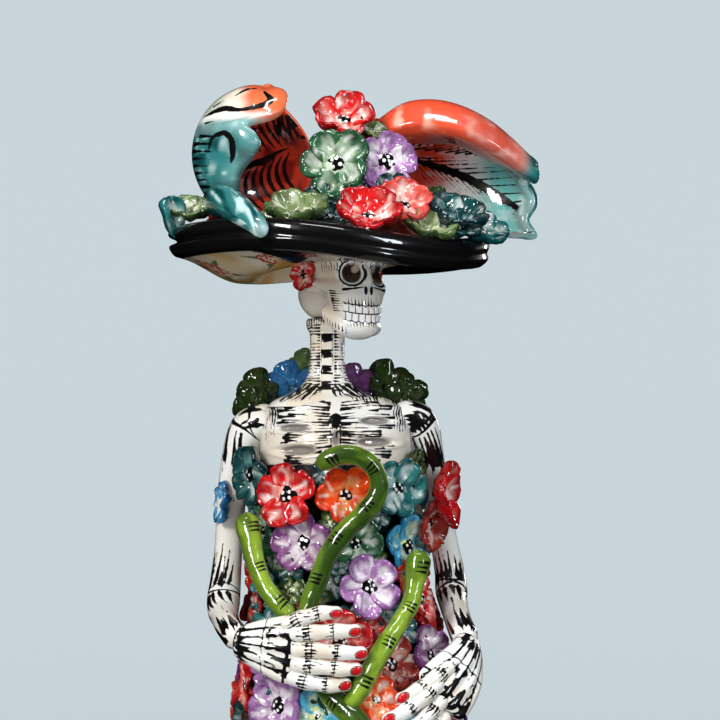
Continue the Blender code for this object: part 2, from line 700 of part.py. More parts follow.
def skull(axis, hat):
    """The skull, cut flat under the hat and bored for the dowel, and the flower at each ear."""
    rings = []
    for height, half_width, front, back in SKULL_SECTIONS:
        middle, half_depth = (front + back) / 2, (back - front) / 2
        rings.append(oval_ring((0, middle, height), half_width, half_depth, SKULL_SIDES, 0.85))
    head = loft("skull", rings, "bone", parent=axis)
    head.rotation_euler.z = HEAD_YAW
    bpy.context.view_layer.update()

    bm = bmesh.new()
    bm.from_mesh(head.data)
    to_local = head.matrix_world.inverted()
    seat_point = to_local @ (hat.matrix_world @ Vector((0, 0, -3 * GAP)))
    seat_normal = to_local.to_3x3() @ (hat.matrix_world.to_3x3() @ Vector((0, 0, 1)))
    cut = bmesh.ops.bisect_plane(
        bm, geom=[*bm.verts, *bm.edges, *bm.faces], plane_co=seat_point, plane_no=seat_normal, clear_outer=True
    )
    edges = [item for item in cut["geom_cut"] if isinstance(item, bmesh.types.BMEdge)]
    bmesh.ops.contextual_create(bm, geom=edges)
    bmesh.ops.recalc_face_normals(bm, faces=bm.faces)
    bm.to_mesh(head.data)
    bm.free()

    bore = cylinder("skull_bore", BORE_RADIUS, 0.35, DOWEL_TOP + GAP, NECK_X, NECK_Y, "bone")
    boolean(head, as_helper(bore), "DIFFERENCE")

    bpy.context.view_layer.update()
    hollows = [(place, (EYE_SOCKET_RADIUS, EYE_SOCKET_RADIUS, EYE_SOCKET_RADIUS)) for place in EYE_SOCKETS]
    for place, radii in [*hollows, (NOSE, (0.0022, 0.0030, 0.0030))]:
        bm = bmesh.new()
        bmesh.ops.create_uvsphere(bm, u_segments=10, v_segments=6, radius=1)
        bmesh.ops.scale(bm, verts=bm.verts, vec=radii)
        bmesh.ops.translate(bm, verts=bm.verts, vec=place)
        cutter = add_object("skull_hollow", mesh_from(bm, "skull_hollow"), "bone")
        cutter.matrix_world = head.matrix_world
        boolean(head, as_helper(cutter), "DIFFERENCE")

    for side, label in ((-1, "right"), (1, "left")):
        facing = Matrix.Rotation(HEAD_YAW, 3, "Z") @ Vector((side * 1.0, -0.15, 0))
        place = Matrix.Rotation(HEAD_YAW, 3, "Z") @ Vector((side * 0.0166, -0.0085, 0.3810))
        flower(f"ear_flower_{label}", place, facing, 0.0056, "red", detail=3, parent=axis, height=0.0030)


# Brim outline from its middle underside round the rolled edge to its middle top: radius, height
BRIM_OUTLINE = ((0.0210, 0.0000), (0.0400, -0.0003), (0.0560, -0.0008), (0.0615, 0.0005), (0.0640, 0.0050),
                (0.0630, 0.0098), (0.0600, 0.0115), (0.0565, 0.0095), (0.0510, 0.0066), (0.0220, 0.0052))
BRIM_DIP = math.radians(-50)  # the edge hangs lowest here, at the front left
BRIM_DIP_DEPTH, BRIM_WAVE, BRIM_WAVES = 0.0035, 0.0020, 3


def brim_point(radius, height, angle):
    """A point of the brim, whose edge hangs on one side and rises and falls on its way round."""
    turn = angle - BRIM_DIP
    wave = BRIM_DIP_DEPTH * math.cos(turn) + BRIM_WAVE * math.cos(BRIM_WAVES * turn)
    return Vector((
        radius * math.cos(angle), radius * math.sin(angle), height - wave * (radius / BRIM_RADIUS) ** 3
    ))


def shell_point(centre, radii, turn, rise):
    """A point of an ellipsoid at an angle round it and an angle above its middle."""
    return Vector((
        centre[0] + radii[0] * math.cos(rise) * math.cos(turn),
        centre[1] + radii[1] * math.cos(rise) * math.sin(turn),
        centre[2] + radii[2] * math.sin(rise),
    ))


RIGHT_PLUME_CENTRE = (-0.0290, 0.0020, 0.0430)
RIGHT_PLUME_RADII = (0.0255, 0.0260, 0.0275)


def right_plume(across, up):
    """The plume curled into a shell on the hat's right, open towards the front and the crown."""
    rise = math.radians(-68 + 148 * up)
    edge = 262 + 14 * math.cos(math.radians(540 * (up - 0.72)))
    start = 30 + 60 * up**3
    turn = math.radians(start + (edge - start) * across)
    return shell_point(RIGHT_PLUME_CENTRE, RIGHT_PLUME_RADII, turn, rise)


# The end of that plume, which hangs over the brim's edge: X, Y, Z and radius
PLUME_TAIL = ((-0.0420, -0.0290, 0.0270, 0.0058), (-0.0400, -0.0400, 0.0225, 0.0058),
              (-0.0370, -0.0510, 0.0190, 0.0052), (-0.0320, -0.0605, 0.0150, 0.0046),
              (-0.0265, -0.0650, 0.0080, 0.0030))


# Left plume sections: X, middle Z, half height, half depth
LEFT_PLUME_SECTIONS = (
    (0.0215, 0.0410, 0.0180, 0.0100),
    (0.0300, 0.0415, 0.0230, 0.0140),
    (0.0420, 0.0415, 0.0245, 0.0170),
    (0.0540, 0.0405, 0.0235, 0.0190),
    (0.0660, 0.0380, 0.0215, 0.0175),
    (0.0760, 0.0340, 0.0175, 0.0130),
    (0.0830, 0.0290, 0.0110, 0.0070),
)
LEFT_PLUME_Y = 0.0040


def left_plume(across, up):
    """The plume laid out to the hat's left, a trough whose upper edge rolls over towards the front."""
    x = LEFT_PLUME_SECTIONS[0][0] + across * (LEFT_PLUME_SECTIONS[-1][0] - LEFT_PLUME_SECTIONS[0][0])
    middle, half_height, half_depth = blend(LEFT_PLUME_SECTIONS, x)
    angle = math.radians(-70 + 215 * up)
    return Vector((x, LEFT_PLUME_Y + half_depth * math.cos(angle), middle + half_height * math.sin(angle)))


# Hat flowers in the hat's frame: name, place, facing, radius, paint
HAT_FLOWERS = (
    ("hat_flower_red_top", (0.0060, -0.0100, 0.0570), (0.05, -0.62, 0.78), 0.0125, "red"),
    ("hat_flower_green", (0.0030, -0.0235, 0.0390), (-0.08, -0.98, 0.18), 0.0125, "green"),
    ("hat_flower_purple", (0.0230, -0.0215, 0.0405), (0.30, -0.94, 0.15), 0.0106, "lilac"),
    ("hat_flower_red_front", (0.0160, -0.0440, 0.0215), (0.05, -0.55, 0.83), 0.0120, "red"),
    ("hat_flower_salmon", (0.0300, -0.0290, 0.0220), (0.25, -0.60, 0.76), 0.0095, "salmon"),
    ("hat_flower_olive_front", (-0.0130, -0.0400, 0.0180), (-0.10, -0.35, 0.93), 0.0125, "olive"),
    ("hat_flower_teal_side", (0.0500, -0.0225, 0.0195), (0.20, -0.35, 0.90), 0.0115, "dark_teal"),
    ("hat_flower_olive_side", (-0.0555, -0.0090, 0.0190), (-0.20, -0.25, 0.95), 0.0080, "olive"),
)


def hat(frame):
    """The brim with its rolled edge, the crown, the two plumes and the flowers round the crown."""
    rings = [
        [brim_point(r, z, 2 * math.pi * i / BRIM_SIDES) for i in range(BRIM_SIDES)] for r, z in BRIM_OUTLINE
    ]
    loft("hat_brim", rings, "black", parent=frame)

    crown = [oval_ring((CROWN_X, 0, z), r, r, 20) for r, z in CROWN_OUTLINE]
    loft("hat_crown", crown, "black", parent=frame)

    solidify(sheet("right_plume", right_plume, 16, 10, "red", frame), PLUME_WALL, 0)
    solidify(sheet("left_plume", left_plume, 10, 12, "orange", frame), PLUME_WALL, 0)
    tail = smooth_line([Vector(row) for row in PLUME_TAIL], 3)
    smooth(tube("right_plume_tail", [p[:3] for p in tail], [p[3] for p in tail], "teal", parent=frame))

    for index, (name, place, facing, radius, colour) in enumerate(HAT_FLOWERS):
        flower(name, place, facing, radius, colour, spin=0.7 * index, parent=frame)


def main():
    """Builds every piece of the figure."""
    clear_scene()
    base_and_skirt()
    rib_cage()
    neck()
    arms()
    hands()
    stems()
    front_flowers()
    garlands()
    shawl()
    axis = head_frame()
    cylinder("neck_dowel", DOWEL_RADIUS, DOWEL_BOTTOM, DOWEL_TOP, 0, 0, "wood", parent=axis)
    frame = hat_frame(axis)
    skull(axis, frame)
    hat(frame)


main()
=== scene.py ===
"""The catrina figure's looks: brushed and glazed clay over the CAD figure, in metres, +Z up, facing -Y."""

import itertools
import math

import bpy
import numpy as np
from mathutils import Matrix, Vector


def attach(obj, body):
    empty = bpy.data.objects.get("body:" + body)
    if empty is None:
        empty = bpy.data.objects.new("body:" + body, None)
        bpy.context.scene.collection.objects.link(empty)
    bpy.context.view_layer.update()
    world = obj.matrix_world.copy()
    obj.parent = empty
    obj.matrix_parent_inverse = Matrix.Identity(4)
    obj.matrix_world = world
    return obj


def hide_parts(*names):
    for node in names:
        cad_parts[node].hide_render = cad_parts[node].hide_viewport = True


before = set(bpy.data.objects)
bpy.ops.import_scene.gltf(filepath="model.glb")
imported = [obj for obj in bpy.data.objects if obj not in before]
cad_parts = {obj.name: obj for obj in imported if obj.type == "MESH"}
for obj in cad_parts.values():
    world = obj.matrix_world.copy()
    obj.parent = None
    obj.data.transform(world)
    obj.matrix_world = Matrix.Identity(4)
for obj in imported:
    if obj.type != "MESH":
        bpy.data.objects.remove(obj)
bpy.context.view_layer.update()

MM = 0.001

# Pigments under the glaze: body colour, deep colour where it pools and for painted shade, pale colour where
# it is thin
PIGMENTS = {
    "red": ((0.60, 0.012, 0.014), (0.22, 0.002, 0.004), (0.95, 0.48, 0.40)),
    "orange": ((0.78, 0.060, 0.008), (0.42, 0.010, 0.003), (0.97, 0.42, 0.16)),
    "salmon": ((0.72, 0.090, 0.070), (0.36, 0.015, 0.015), (0.95, 0.58, 0.48)),
    "rust": ((0.36, 0.036, 0.026), (0.10, 0.006, 0.007), (0.80, 0.40, 0.30)),
    "purple": ((0.26, 0.085, 0.240), (0.08, 0.018, 0.095), (0.86, 0.76, 0.80)),
    "lilac": ((0.36, 0.170, 0.390), (0.14, 0.045, 0.180), (0.90, 0.83, 0.88)),
    "blue": ((0.045, 0.250, 0.480), (0.008, 0.070, 0.200), (0.50, 0.76, 0.84)),
    "sky": ((0.080, 0.400, 0.560), (0.012, 0.140, 0.300), (0.74, 0.80, 0.30)),
    "teal": ((0.022, 0.170, 0.165), (0.003, 0.045, 0.050), (0.66, 0.84, 0.78)),
    "dark_teal": ((0.010, 0.062, 0.064), (0.002, 0.014, 0.018), (0.18, 0.36, 0.34)),
    "green": ((0.030, 0.120, 0.050), (0.005, 0.030, 0.012), (0.56, 0.70, 0.50)),
    "olive": ((0.040, 0.080, 0.016), (0.008, 0.018, 0.004), (0.34, 0.42, 0.16)),
    "cream": ((0.17, 0.24, 0.090), (0.030, 0.060, 0.016), (0.78, 0.78, 0.52)),
}
BONE = np.array((0.80, 0.765, 0.69))
BONE_WARM = np.array((0.70, 0.54, 0.36))
WHITE = np.array((0.90, 0.89, 0.86))
BLACK = np.array((0.005, 0.0045, 0.005))
NO_INK = -1.0


# ---------------------------------------------------------------- numbers
def smoothstep(low, high, x):
    """0 below low, 1 above high, and a smooth rise between."""
    t = np.clip((x - low) / (high - low), 0, 1)
    return t * t * (3 - 2 * t)


def mix(a, b, share):
    """Colours a and b blended by a share for each point."""
    a = np.asarray(a)
    return a + (np.asarray(b) - a) * np.asarray(share)[..., None]


def noise(points, pitch, seed=0):
    """Smooth value noise from -1 to 1 with features of about pitch, one number for each point."""
    p = np.asarray(points, float) / pitch + 37.7 * seed
    cell = np.floor(p).astype(np.int64)
    f = p - cell
    f = f * f * (3 - 2 * f)
    total = np.zeros(p.shape[:-1])
    primes = np.array((73856093, 19349663, 83492791))[: p.shape[-1]]
    for corner in itertools.product((0, 1), repeat=p.shape[-1]):
        key = ((cell + corner) * primes).sum(-1) + 1013 * seed
        key = (key ^ (key >> 13)) * 1274126177 & 0xFFFFFFF
        value = ((key ^ (key >> 9)) & 0xFFFF) / 32767.5 - 1
        total += value * np.prod(np.where(corner, f, 1 - f), -1)
    return total


def curve_points(points, steps):
    """A Catmull-Rom curve through rows of numbers, with steps points between each pair."""
    p = np.asarray(points, float)
    p = np.vstack((2 * p[0] - p[1], p, 2 * p[-1] - p[-2]))
    t = np.linspace(0, 1, steps, endpoint=False)[:, None]
    runs = [
        0.5 * (2 * b + (c - a) * t + (2 * a - 5 * b + 4 * c - d) * t**2 + (3 * b - a - 3 * c + d) * t**3)
        for a, b, c, d in zip(p, p[1:], p[2:], p[3:])
    ]
    return np.vstack((*runs, p[-2:-1]))


def along_table(table, key):
    """The other columns of a table at values of its first, on a smooth curve through its rows."""
    line = curve_points(table, 12)
    line = line[np.argsort(line[:, 0])]
    return [np.interp(key, line[:, 0], line[:, i]) for i in range(1, line.shape[1])]


def resample(points, spacing):
    """Rows of numbers, of which the first three are a place, spaced evenly along their line."""
    gaps = np.linalg.norm(np.diff(points[:, :3], axis=0), axis=1)
    along = np.concatenate(((0,), np.cumsum(gaps)))
    count = max(3, int(along[-1] / spacing) + 1)
    wanted = np.linspace(0, along[-1], count)
    return np.stack([np.interp(wanted, along, column) for column in points.T], 1), wanted


def unit(vectors):
    """Vectors made one long."""
    return vectors / np.maximum(np.linalg.norm(vectors, axis=-1, keepdims=True), 1e-12)


# ---------------------------------------------------------------- brush strokes
def strokes(u, v, rows, wobble=0.0, seed=0):
    """How far inside the nearest stroke each point (u, v) is, in the units of u and v, and negative outside.
    A row is the stroke's start u and v, its end u and v, and its widths at the start and end."""
    best = np.full(np.shape(u), NO_INK)
    shift = noise(np.stack((u, v), -1), 1.3, seed) * wobble if wobble else 0.0
    for u0, v0, u1, v1, w0, w1 in rows:
        du, dv = u1 - u0, v1 - v0
        length = du * du + dv * dv + 1e-9
        t = np.clip(((u - u0) * du + (v - v0) * dv) / length, 0, 1)
        away = np.hypot(u - u0 - t * du, v - v0 - t * dv)
        best = np.maximum(best, (w0 + (w1 - w0) * t) / 2 - away + shift)
    return best


def hatch(rng, count, along, across, length, width, lean=0.0):
    """Rows of tapered strokes that start along one line and run the same way, for strokes()."""
    rows = []
    for i in range(count):
        u = along[0] + (along[1] - along[0]) * (i + rng.uniform(-0.25, 0.25)) / max(1, count - 1)
        reach = length * rng.uniform(0.6, 1.15)
        rows.append((u, across, u + lean * reach, across + reach, width * rng.uniform(0.7, 1.2), 0.02))
    return rows


# ---------------------------------------------------------------- meshes
class Clay:
    """A painted piece under construction: points, faces, colour and ink, joined from several shapes."""

    def __init__(self):
        self.points, self.faces, self.colour, self.ink = [], [], [], []
        self.count = 0

    def add(self, grid, colour, ink=NO_INK, caps=True):
        """Adds a grid of points, rows by columns, whose last column joins the first. caps fill the ends."""
        rows, columns = grid.shape[:2]
        index = np.arange(rows * columns).reshape(rows, columns) + self.count
        low, high = index[:-1], index[1:]
        quads = np.stack((low, np.roll(low, -1, 1), np.roll(high, -1, 1), high), -1)
        self.faces.append(quads.reshape(-1, 4))
        self.points.append(grid.reshape(-1, 3))
        self.colour.append(np.broadcast_to(colour, grid.shape).reshape(-1, 3))
        self.ink.append(np.broadcast_to(ink, (rows, columns)).reshape(-1))
        self.count += rows * columns
        if caps:
            colour, ink = self.colour[-1], self.ink[-1]
            for ring, flip in ((0, True), (rows - 1, False)):
                self._cap(index[ring], grid[ring], colour, ink, ring * columns, flip)

    def _cap(self, ring, place, colour, ink, first, flip):
        """Closes one end of a tube with a fan about its middle."""
        middle = self.count
        self.points.append(place.mean(0)[None])
        self.colour.append(colour[first: first + 1])
        self.ink.append(ink[first: first + 1])
        self.count += 1
        after = np.roll(ring, -1)
        ends = (after, ring) if flip else (ring, after)
        fan = np.stack((ends[0], ends[1], np.full_like(ring, middle), np.full_like(ring, -1)), -1)
        self.faces.append(fan)

    def move(self, matrix, start=0):
        """Moves every shape added since the start-th by a matrix."""
        turn, shift = np.array(matrix)[:3, :3], np.array(matrix)[:3, 3]
        for i in range(start, len(self.points)):
            self.points[i] = self.points[i] @ turn.T + shift

    def build(self, name, material, body, slot, *nodes):
        """Makes the object, which rides on a body and stands for the named CAD nodes."""
        points = np.vstack(self.points)
        faces = np.vstack(self.faces)
        sizes = np.where(faces[:, 3] < 0, 3, 4)
        loops = faces.reshape(-1)
        loops = loops[loops >= 0]
        data = bpy.data.meshes.new(name)
        data.vertices.add(len(points))
        data.vertices.foreach_set("co", points.reshape(-1))
        data.loops.add(len(loops))
        data.loops.foreach_set("vertex_index", loops)
        data.polygons.add(len(faces))
        data.polygons.foreach_set("loop_start", np.concatenate(((0,), np.cumsum(sizes)[:-1])))
        data.update(calc_edges=True)
        data.validate()
        colour = np.hstack((np.vstack(self.colour), np.ones((len(points), 1))))
        data.attributes.new("paint", "FLOAT_COLOR", "POINT").data.foreach_set("color", colour.reshape(-1))
        data.attributes.new("ink", "FLOAT", "POINT").data.foreach_set("value", np.concatenate(self.ink))
        data.shade_smooth()
        data.materials.append(material)
        obj = bpy.data.objects.new(name, data)
        bpy.context.scene.collection.objects.link(obj)
        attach(obj, body)
        if nodes:
            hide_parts(*nodes)
        return obj


def tube_frames(centres, side):
    """Along, side and out directions for each point of a line, turning as little as they can."""
    along = unit(np.gradient(centres, axis=0))
    sides = np.zeros_like(centres)
    last = np.asarray(side, float)
    for i, direction in enumerate(along):
        last = last - direction * (last @ direction)
        last = last / np.linalg.norm(last)
        sides[i] = last
    return along, sides, np.cross(along, sides)


def tube(line, sides=48, spacing=0.0004, side=(1, 0, 0)):
    """A round-ended limb along rows of place and radius. Returns its grid, the distance along and round it
    in millimetres, and its angle, all at each point. Angle 0 is towards side, 90 degrees along x side."""
    line, along = resample(np.asarray(line, float), spacing)
    centres, radius = line[:, :3], line[:, 3].copy()
    for gap, r in ((along, radius[0]), (along[-1] - along, radius[-1])):
        near = gap < r
        radius[near] *= np.sqrt(np.clip(1 - (1 - gap[near] / r) ** 2, 0.0009, 1))
    _, a, b = tube_frames(centres, side)
    angle = np.linspace(0, 2 * math.pi, sides, endpoint=False)
    ring = a[:, None] * np.cos(angle)[None, :, None] + b[:, None] * np.sin(angle)[None, :, None]
    grid = centres[:, None] + ring * radius[:, None, None]
    u = np.broadcast_to(along[:, None] / MM, grid.shape[:2])
    turned = np.broadcast_to((angle + math.pi) % (2 * math.pi) - math.pi, grid.shape[:2])
    v = turned * line[:, 3][:, None] / MM
    return grid, u, v, turned


# ---------------------------------------------------------------- materials
def plug(tree, value, socket):
    """Links a node's output to a socket, or sets the socket to a plain value."""
    if isinstance(value, bpy.types.NodeSocket):
        tree.links.new(value, socket)
    else:
        socket.default_value = value


def node(tree, kind, **inputs):
    """Adds a shader node and sets or links its inputs by name."""
    made = tree.nodes.new(kind)
    for key, value in inputs.items():
        plug(tree, value, made.inputs[key.replace("_", " ")])
    return made


def math_node(tree, operation, a, b=0.0, c=0.0):
    """One step of arithmetic on the shader's numbers."""
    made = tree.nodes.new("ShaderNodeMath")
    made.operation = operation
    for socket, value in zip(made.inputs, (a, b, c)):
        plug(tree, value, socket)
    return made.outputs[0]


def mix_node(tree, factor, a, b, blend="MIX"):
    """One mix of the shader's colours."""
    made = tree.nodes.new("ShaderNodeMix")
    made.data_type, made.blend_type = "RGBA", blend
    for socket, value in ((made.inputs[0], factor), (made.inputs[6], a), (made.inputs[7], b)):
        plug(tree, (*value, 1) if isinstance(value, (tuple, np.ndarray)) else value, socket)
    return made.outputs[2]


def painted_layer(tree, name, output):
    """What a piece's mesh holds under a name, as colour or as a number."""
    made = node(tree, "ShaderNodeAttribute")
    made.attribute_name = name
    return made.outputs[output]


def inked(tree, colour, ink, edge, speck):
    """The colour with ink over it where the piece's ink value is above 0, and a speckled edge."""
    drawn = painted_layer(tree, "ink", "Fac")
    rough_edge = math_node(tree, "MULTIPLY_ADD", speck, 3 * edge, -1.5 * edge)
    inside = math_node(tree, "ADD", drawn, rough_edge)
    share = math_node(tree, "MULTIPLY_ADD", inside, 0.5 / edge, 0.5)
    share = math_node(tree, "MINIMUM", math_node(tree, "MAXIMUM", share, 0.0), 1.0)
    return mix_node(tree, share, colour, tuple(ink))


SPECK_SCALE = 1400.0
CLEAR_COAT = {"Specular IOR Level": 0.15, "Coat Weight": 1.0, "Coat Roughness": 0.03, "Coat IOR": 1.5}
BUMP_HEIGHT = 0.0015


def glaze(name, pigment=None, ink=BLACK, wash=0.25, wash_scale=260.0, roughness=0.3, edge=0.05,
          lumps=0.10, lump_scale=130.0):
    """Brushed colour under clear glaze. The colour is a pigment, or the piece's own paint with its ink."""
    made = bpy.data.materials.new(name)
    made.use_nodes = True
    tree = made.node_tree
    shader = tree.nodes["Principled BSDF"]
    place = node(tree, "ShaderNodeTexCoord").outputs["Object"]
    cloud, speck, lump = (
        node(tree, "ShaderNodeTexNoise", Vector=place, Scale=scale, Detail=detail).outputs["Fac"]
        for scale, detail in ((wash_scale, 3.0), (SPECK_SCALE, 2.0), (lump_scale, 2.0))
    )
    base = pigment or painted_layer(tree, "paint", "Color")
    shade = math_node(tree, "MULTIPLY_ADD", cloud, 2 * wash, 1 - wash)
    value = node(tree, "ShaderNodeCombineColor", Red=shade, Green=shade, Blue=shade).outputs[0]
    colour = mix_node(tree, 1.0, base, value, "MULTIPLY")
    if pigment is None:
        colour = inked(tree, colour, ink, edge, speck)
    tree.links.new(colour, shader.inputs["Base Color"])
    shader.inputs["Roughness"].default_value = roughness
    for key, number in CLEAR_COAT.items():
        shader.inputs[key].default_value = number
    bump = node(tree, "ShaderNodeBump", Height=lump, Strength=lumps, Distance=BUMP_HEIGHT)
    for key in ("Normal", "Coat Normal"):
        tree.links.new(bump.outputs[0], shader.inputs[key])
    return made


def stage_material(name, colour, roughness, share, glow):
    """A plain matt surface for the floor. The lamps light a share of its colour, and glow is its own."""
    made = bpy.data.materials.new(name)
    made.use_nodes = True
    shader = made.node_tree.nodes["Principled BSDF"]
    shader.inputs["Base Color"].default_value = (*(share * c for c in colour), 1)
    shader.inputs["Roughness"].default_value = roughness
    shader.inputs["Emission Color"].default_value = (*colour, 1)
    shader.inputs["Emission Strength"].default_value = glow
    return made


GLAZE_BONE = glaze("bone_paint", wash=0.05, lumps=0.05, edge=0.06)
GLAZE_PETAL = glaze(
    "petal_paint", wash=0.30, wash_scale=420.0, roughness=0.12, edge=0.04, lumps=0.40, lump_scale=300.0
)
GLAZE_STEM = glaze("stem_paint", wash=0.28, wash_scale=170.0, edge=0.05, lumps=0.30, lump_scale=200.0)
GLAZE_PLUME = glaze("plume_paint", wash=0.22, wash_scale=190.0, edge=0.05, lumps=0.20)
GLAZE_HAT = glaze("hat_paint", ink=(0.50, 0.030, 0.020), wash=0.10, edge=0.05, lumps=0.10)
GLAZE_BLACK = glaze("black_glaze_paint", pigment=(0.005, 0.005, 0.006), wash=0.2, roughness=0.10, lumps=0.2)


# ---------------------------------------------------------------- dress shape, as in the CAD
# Rings of the dress: height, half width, half depth and X of the middle
DRESS_SECTIONS = np.array((
    (0.0053, 0.0740, 0.0740, 0.0000), (0.0200, 0.0650, 0.0650, 0.0002),
    (0.0400, 0.0560, 0.0560, 0.0006), (0.0650, 0.0490, 0.0490, 0.0014),
    (0.1000, 0.0440, 0.0440, 0.0028), (0.1400, 0.0415, 0.0410, 0.0042),
    (0.1750, 0.0410, 0.0400, 0.0055), (0.2000, 0.0405, 0.0385, 0.0060),
    (0.2200, 0.0380, 0.0345, 0.0050), (0.2400, 0.0335, 0.0300, 0.0030),
    (0.2600, 0.0295, 0.0265, 0.0010), (0.2800, 0.0295, 0.0255, 0.0000),
    (0.3000, 0.0300, 0.0250, 0.0000), (0.3150, 0.0305, 0.0235, 0.0000),
    (0.3250, 0.0300, 0.0205, 0.0000), (0.3320, 0.0265, 0.0160, 0.0000),
    (0.3350, 0.0130, 0.0100, -0.0020),
))
GAP = 0.0003  # how far a painted piece stands off the surface it lies on


def dress_size(height):
    """The dress's half width, half depth and middle X at a height."""
    return [np.interp(height, DRESS_SECTIONS[:, 0], DRESS_SECTIONS[:, i]) for i in (1, 2, 3)]


def dress_point(angle, height):
    """A point on the dress. Angle 0 is the figure's left, 90 degrees its back, 270 its front."""
    half_x, half_y, middle = dress_size(height)
    return np.array((middle + half_x * math.cos(angle), half_y * math.sin(angle), height))


def dress_normal(angle, height, step=0.004):
    """The dress's outward direction, averaged over a few millimetres."""
    across = dress_point(angle + step / 0.04, height) - dress_point(angle - step / 0.04, height)
    up = dress_point(angle, height + step) - dress_point(angle, height - step)
    return unit(np.cross(across, up))


def front_angle(x, height):
    """The angle at which the dress's front has this X, kept short of its sides."""
    half_x, _, middle = dress_size(height)
    return -math.acos(max(-0.97, min(0.97, (x - middle) / half_x)))


def seat(angle, height, radius, lift=0.0):
    """Where a flower's back goes so that its outline clears the dress, and which way it faces."""
    place, facing = dress_point(angle, height), dress_normal(angle, height)
    side = unit(np.cross(facing, (0.3, 0.2, 1.0)))
    up = np.cross(facing, side)
    turn = np.linspace(0, 2 * math.pi, 12, endpoint=False)
    rim = place + radius * (np.cos(turn)[:, None] * side + np.sin(turn)[:, None] * up)
    half_x, half_y, middle = dress_size(rim[:, 2])
    share = np.hypot((rim[:, 0] - middle) / half_x, rim[:, 1] / half_y)
    deepest = max(0.0, ((1 - share) * np.minimum(half_x, half_y)).max())
    return place + facing * (2 * GAP + 1.1 * deepest + lift), facing


# ---------------------------------------------------------------- flowers
def petal_form(rng, radius, seed, detail):
    """A petal that lies along +X from the flower's middle: its x, y and z, and for its paint the share
    along it, the share across it, how near its rim each point is and how far it faces the front."""
    rows, columns = int(19 * detail), int(30 * detail)
    s = -np.cos(np.linspace(0.06, 1.0, rows) * math.pi)[:, None]
    angle = np.linspace(0, 2 * math.pi, columns, endpoint=False)[None]
    width = np.sqrt(np.clip(1 - s**2, 0.0004, 1)) ** 0.75 * (1 + 0.16 * s)
    a, b, c = 0.46 * radius, 0.47 * radius * rng.uniform(0.90, 1.10), 0.19 * radius
    wavy = np.stack((s * 2 + 0 * angle, 2 * np.cos(angle) + 0 * s), -1)
    wavy = 1 + 0.07 * noise(wavy, 0.9, seed + 3)
    x = s * a * wavy
    y = width * b * np.cos(angle) * wavy
    rim = np.hypot(x / a, y / b)
    along = ((s - rng.uniform(0.0, 0.35)) / 0.50) ** 2
    thumb = np.exp(-along - ((y / b - rng.uniform(-0.2, 0.2)) / 0.42) ** 2)
    front = np.clip(np.sin(angle), 0, 1) * np.ones_like(x)
    z = width * c * np.sin(angle)
    z = z - rng.uniform(1.1, 1.7) * c * thumb * (np.sin(angle) > -0.4)
    z = z + 0.75 * c * (y / b) ** 2 + 0.45 * c * s
    lumps = np.stack((x / radius, y / radius, z / radius), -1)
    z = z + 0.36 * c * noise(lumps, 0.30, seed) + 0.17 * c * noise(lumps, 0.13, seed + 1)
    return x + 0.55 * radius, y, z, s, y / b, rim, front


def petal_colour(rng, x, y, s, across, rim, front, paints, seed):
    """The body colour, deep where the glaze pools towards the tip and in mottled spots, deep as painted shade
    at the sides, the rim and the underside, and pale and white where the brush was dry.
    x and y are in petal lengths."""
    body, deep, pale = paints
    streak = noise(np.stack((x * 0.9, y * 5.0), -1), 0.50, seed + 5)
    blot = noise(np.stack((x, y), -1), 0.26, seed + 9)
    speck = noise(np.stack((x, y), -1), 0.12, seed + 10)
    wet = smoothstep(0.95, 0.20, rim + 0.36 * s - 0.32 * streak - 0.30 * blot) * smoothstep(0.10, 0.55, front)
    # Deep colour: glaze pooled towards the tip and in spots, and painted shade on each petal's underside, rim
    # and sides, where the petals meet and turn away.
    pooled_and_shaded = 0.55 * smoothstep(0.2, 0.9, s + 0.5 * blot) + 0.7 * smoothstep(0.45, 0.0, front)
    pooled_and_shaded = pooled_and_shaded + 0.7 * smoothstep(0.80, 1.0, np.abs(across) + 0.25 * blot)
    pooled_and_shaded = pooled_and_shaded + 0.55 * smoothstep(0.15, 0.75, speck + 0.4 * blot)
    colour = mix(body, deep, np.clip(pooled_and_shaded, 0, 0.92))
    thin = smoothstep(-0.5, 0.3, blot + 0.5 * streak)
    colour = mix(colour, pale, 0.72 * wet * thin * rng.uniform(0.7, 1.0))
    return mix(colour, WHITE, 0.62 * wet * smoothstep(0.22, 0.60, streak + 0.3 * blot - 0.5 * speck))


def add_petal(clay, rng, radius, paints, turn, tilt, seed, detail=1.0):
    """One thumb-pressed petal, its inner end at the flower's middle."""
    x, y, z, s, across, rim, front = petal_form(rng, radius, seed, detail)
    tilted_x = x * math.cos(tilt) - z * math.sin(tilt)
    tilted_z = x * math.sin(tilt) + z * math.cos(tilt)
    px = tilted_x * math.cos(turn) - y * math.sin(turn)
    py = tilted_x * math.sin(turn) + y * math.cos(turn)
    colour = petal_colour(rng, x / radius, y / radius, s, across, rim, front, paints, seed)
    clay.add(np.stack((px, py, tilted_z), -1), colour)


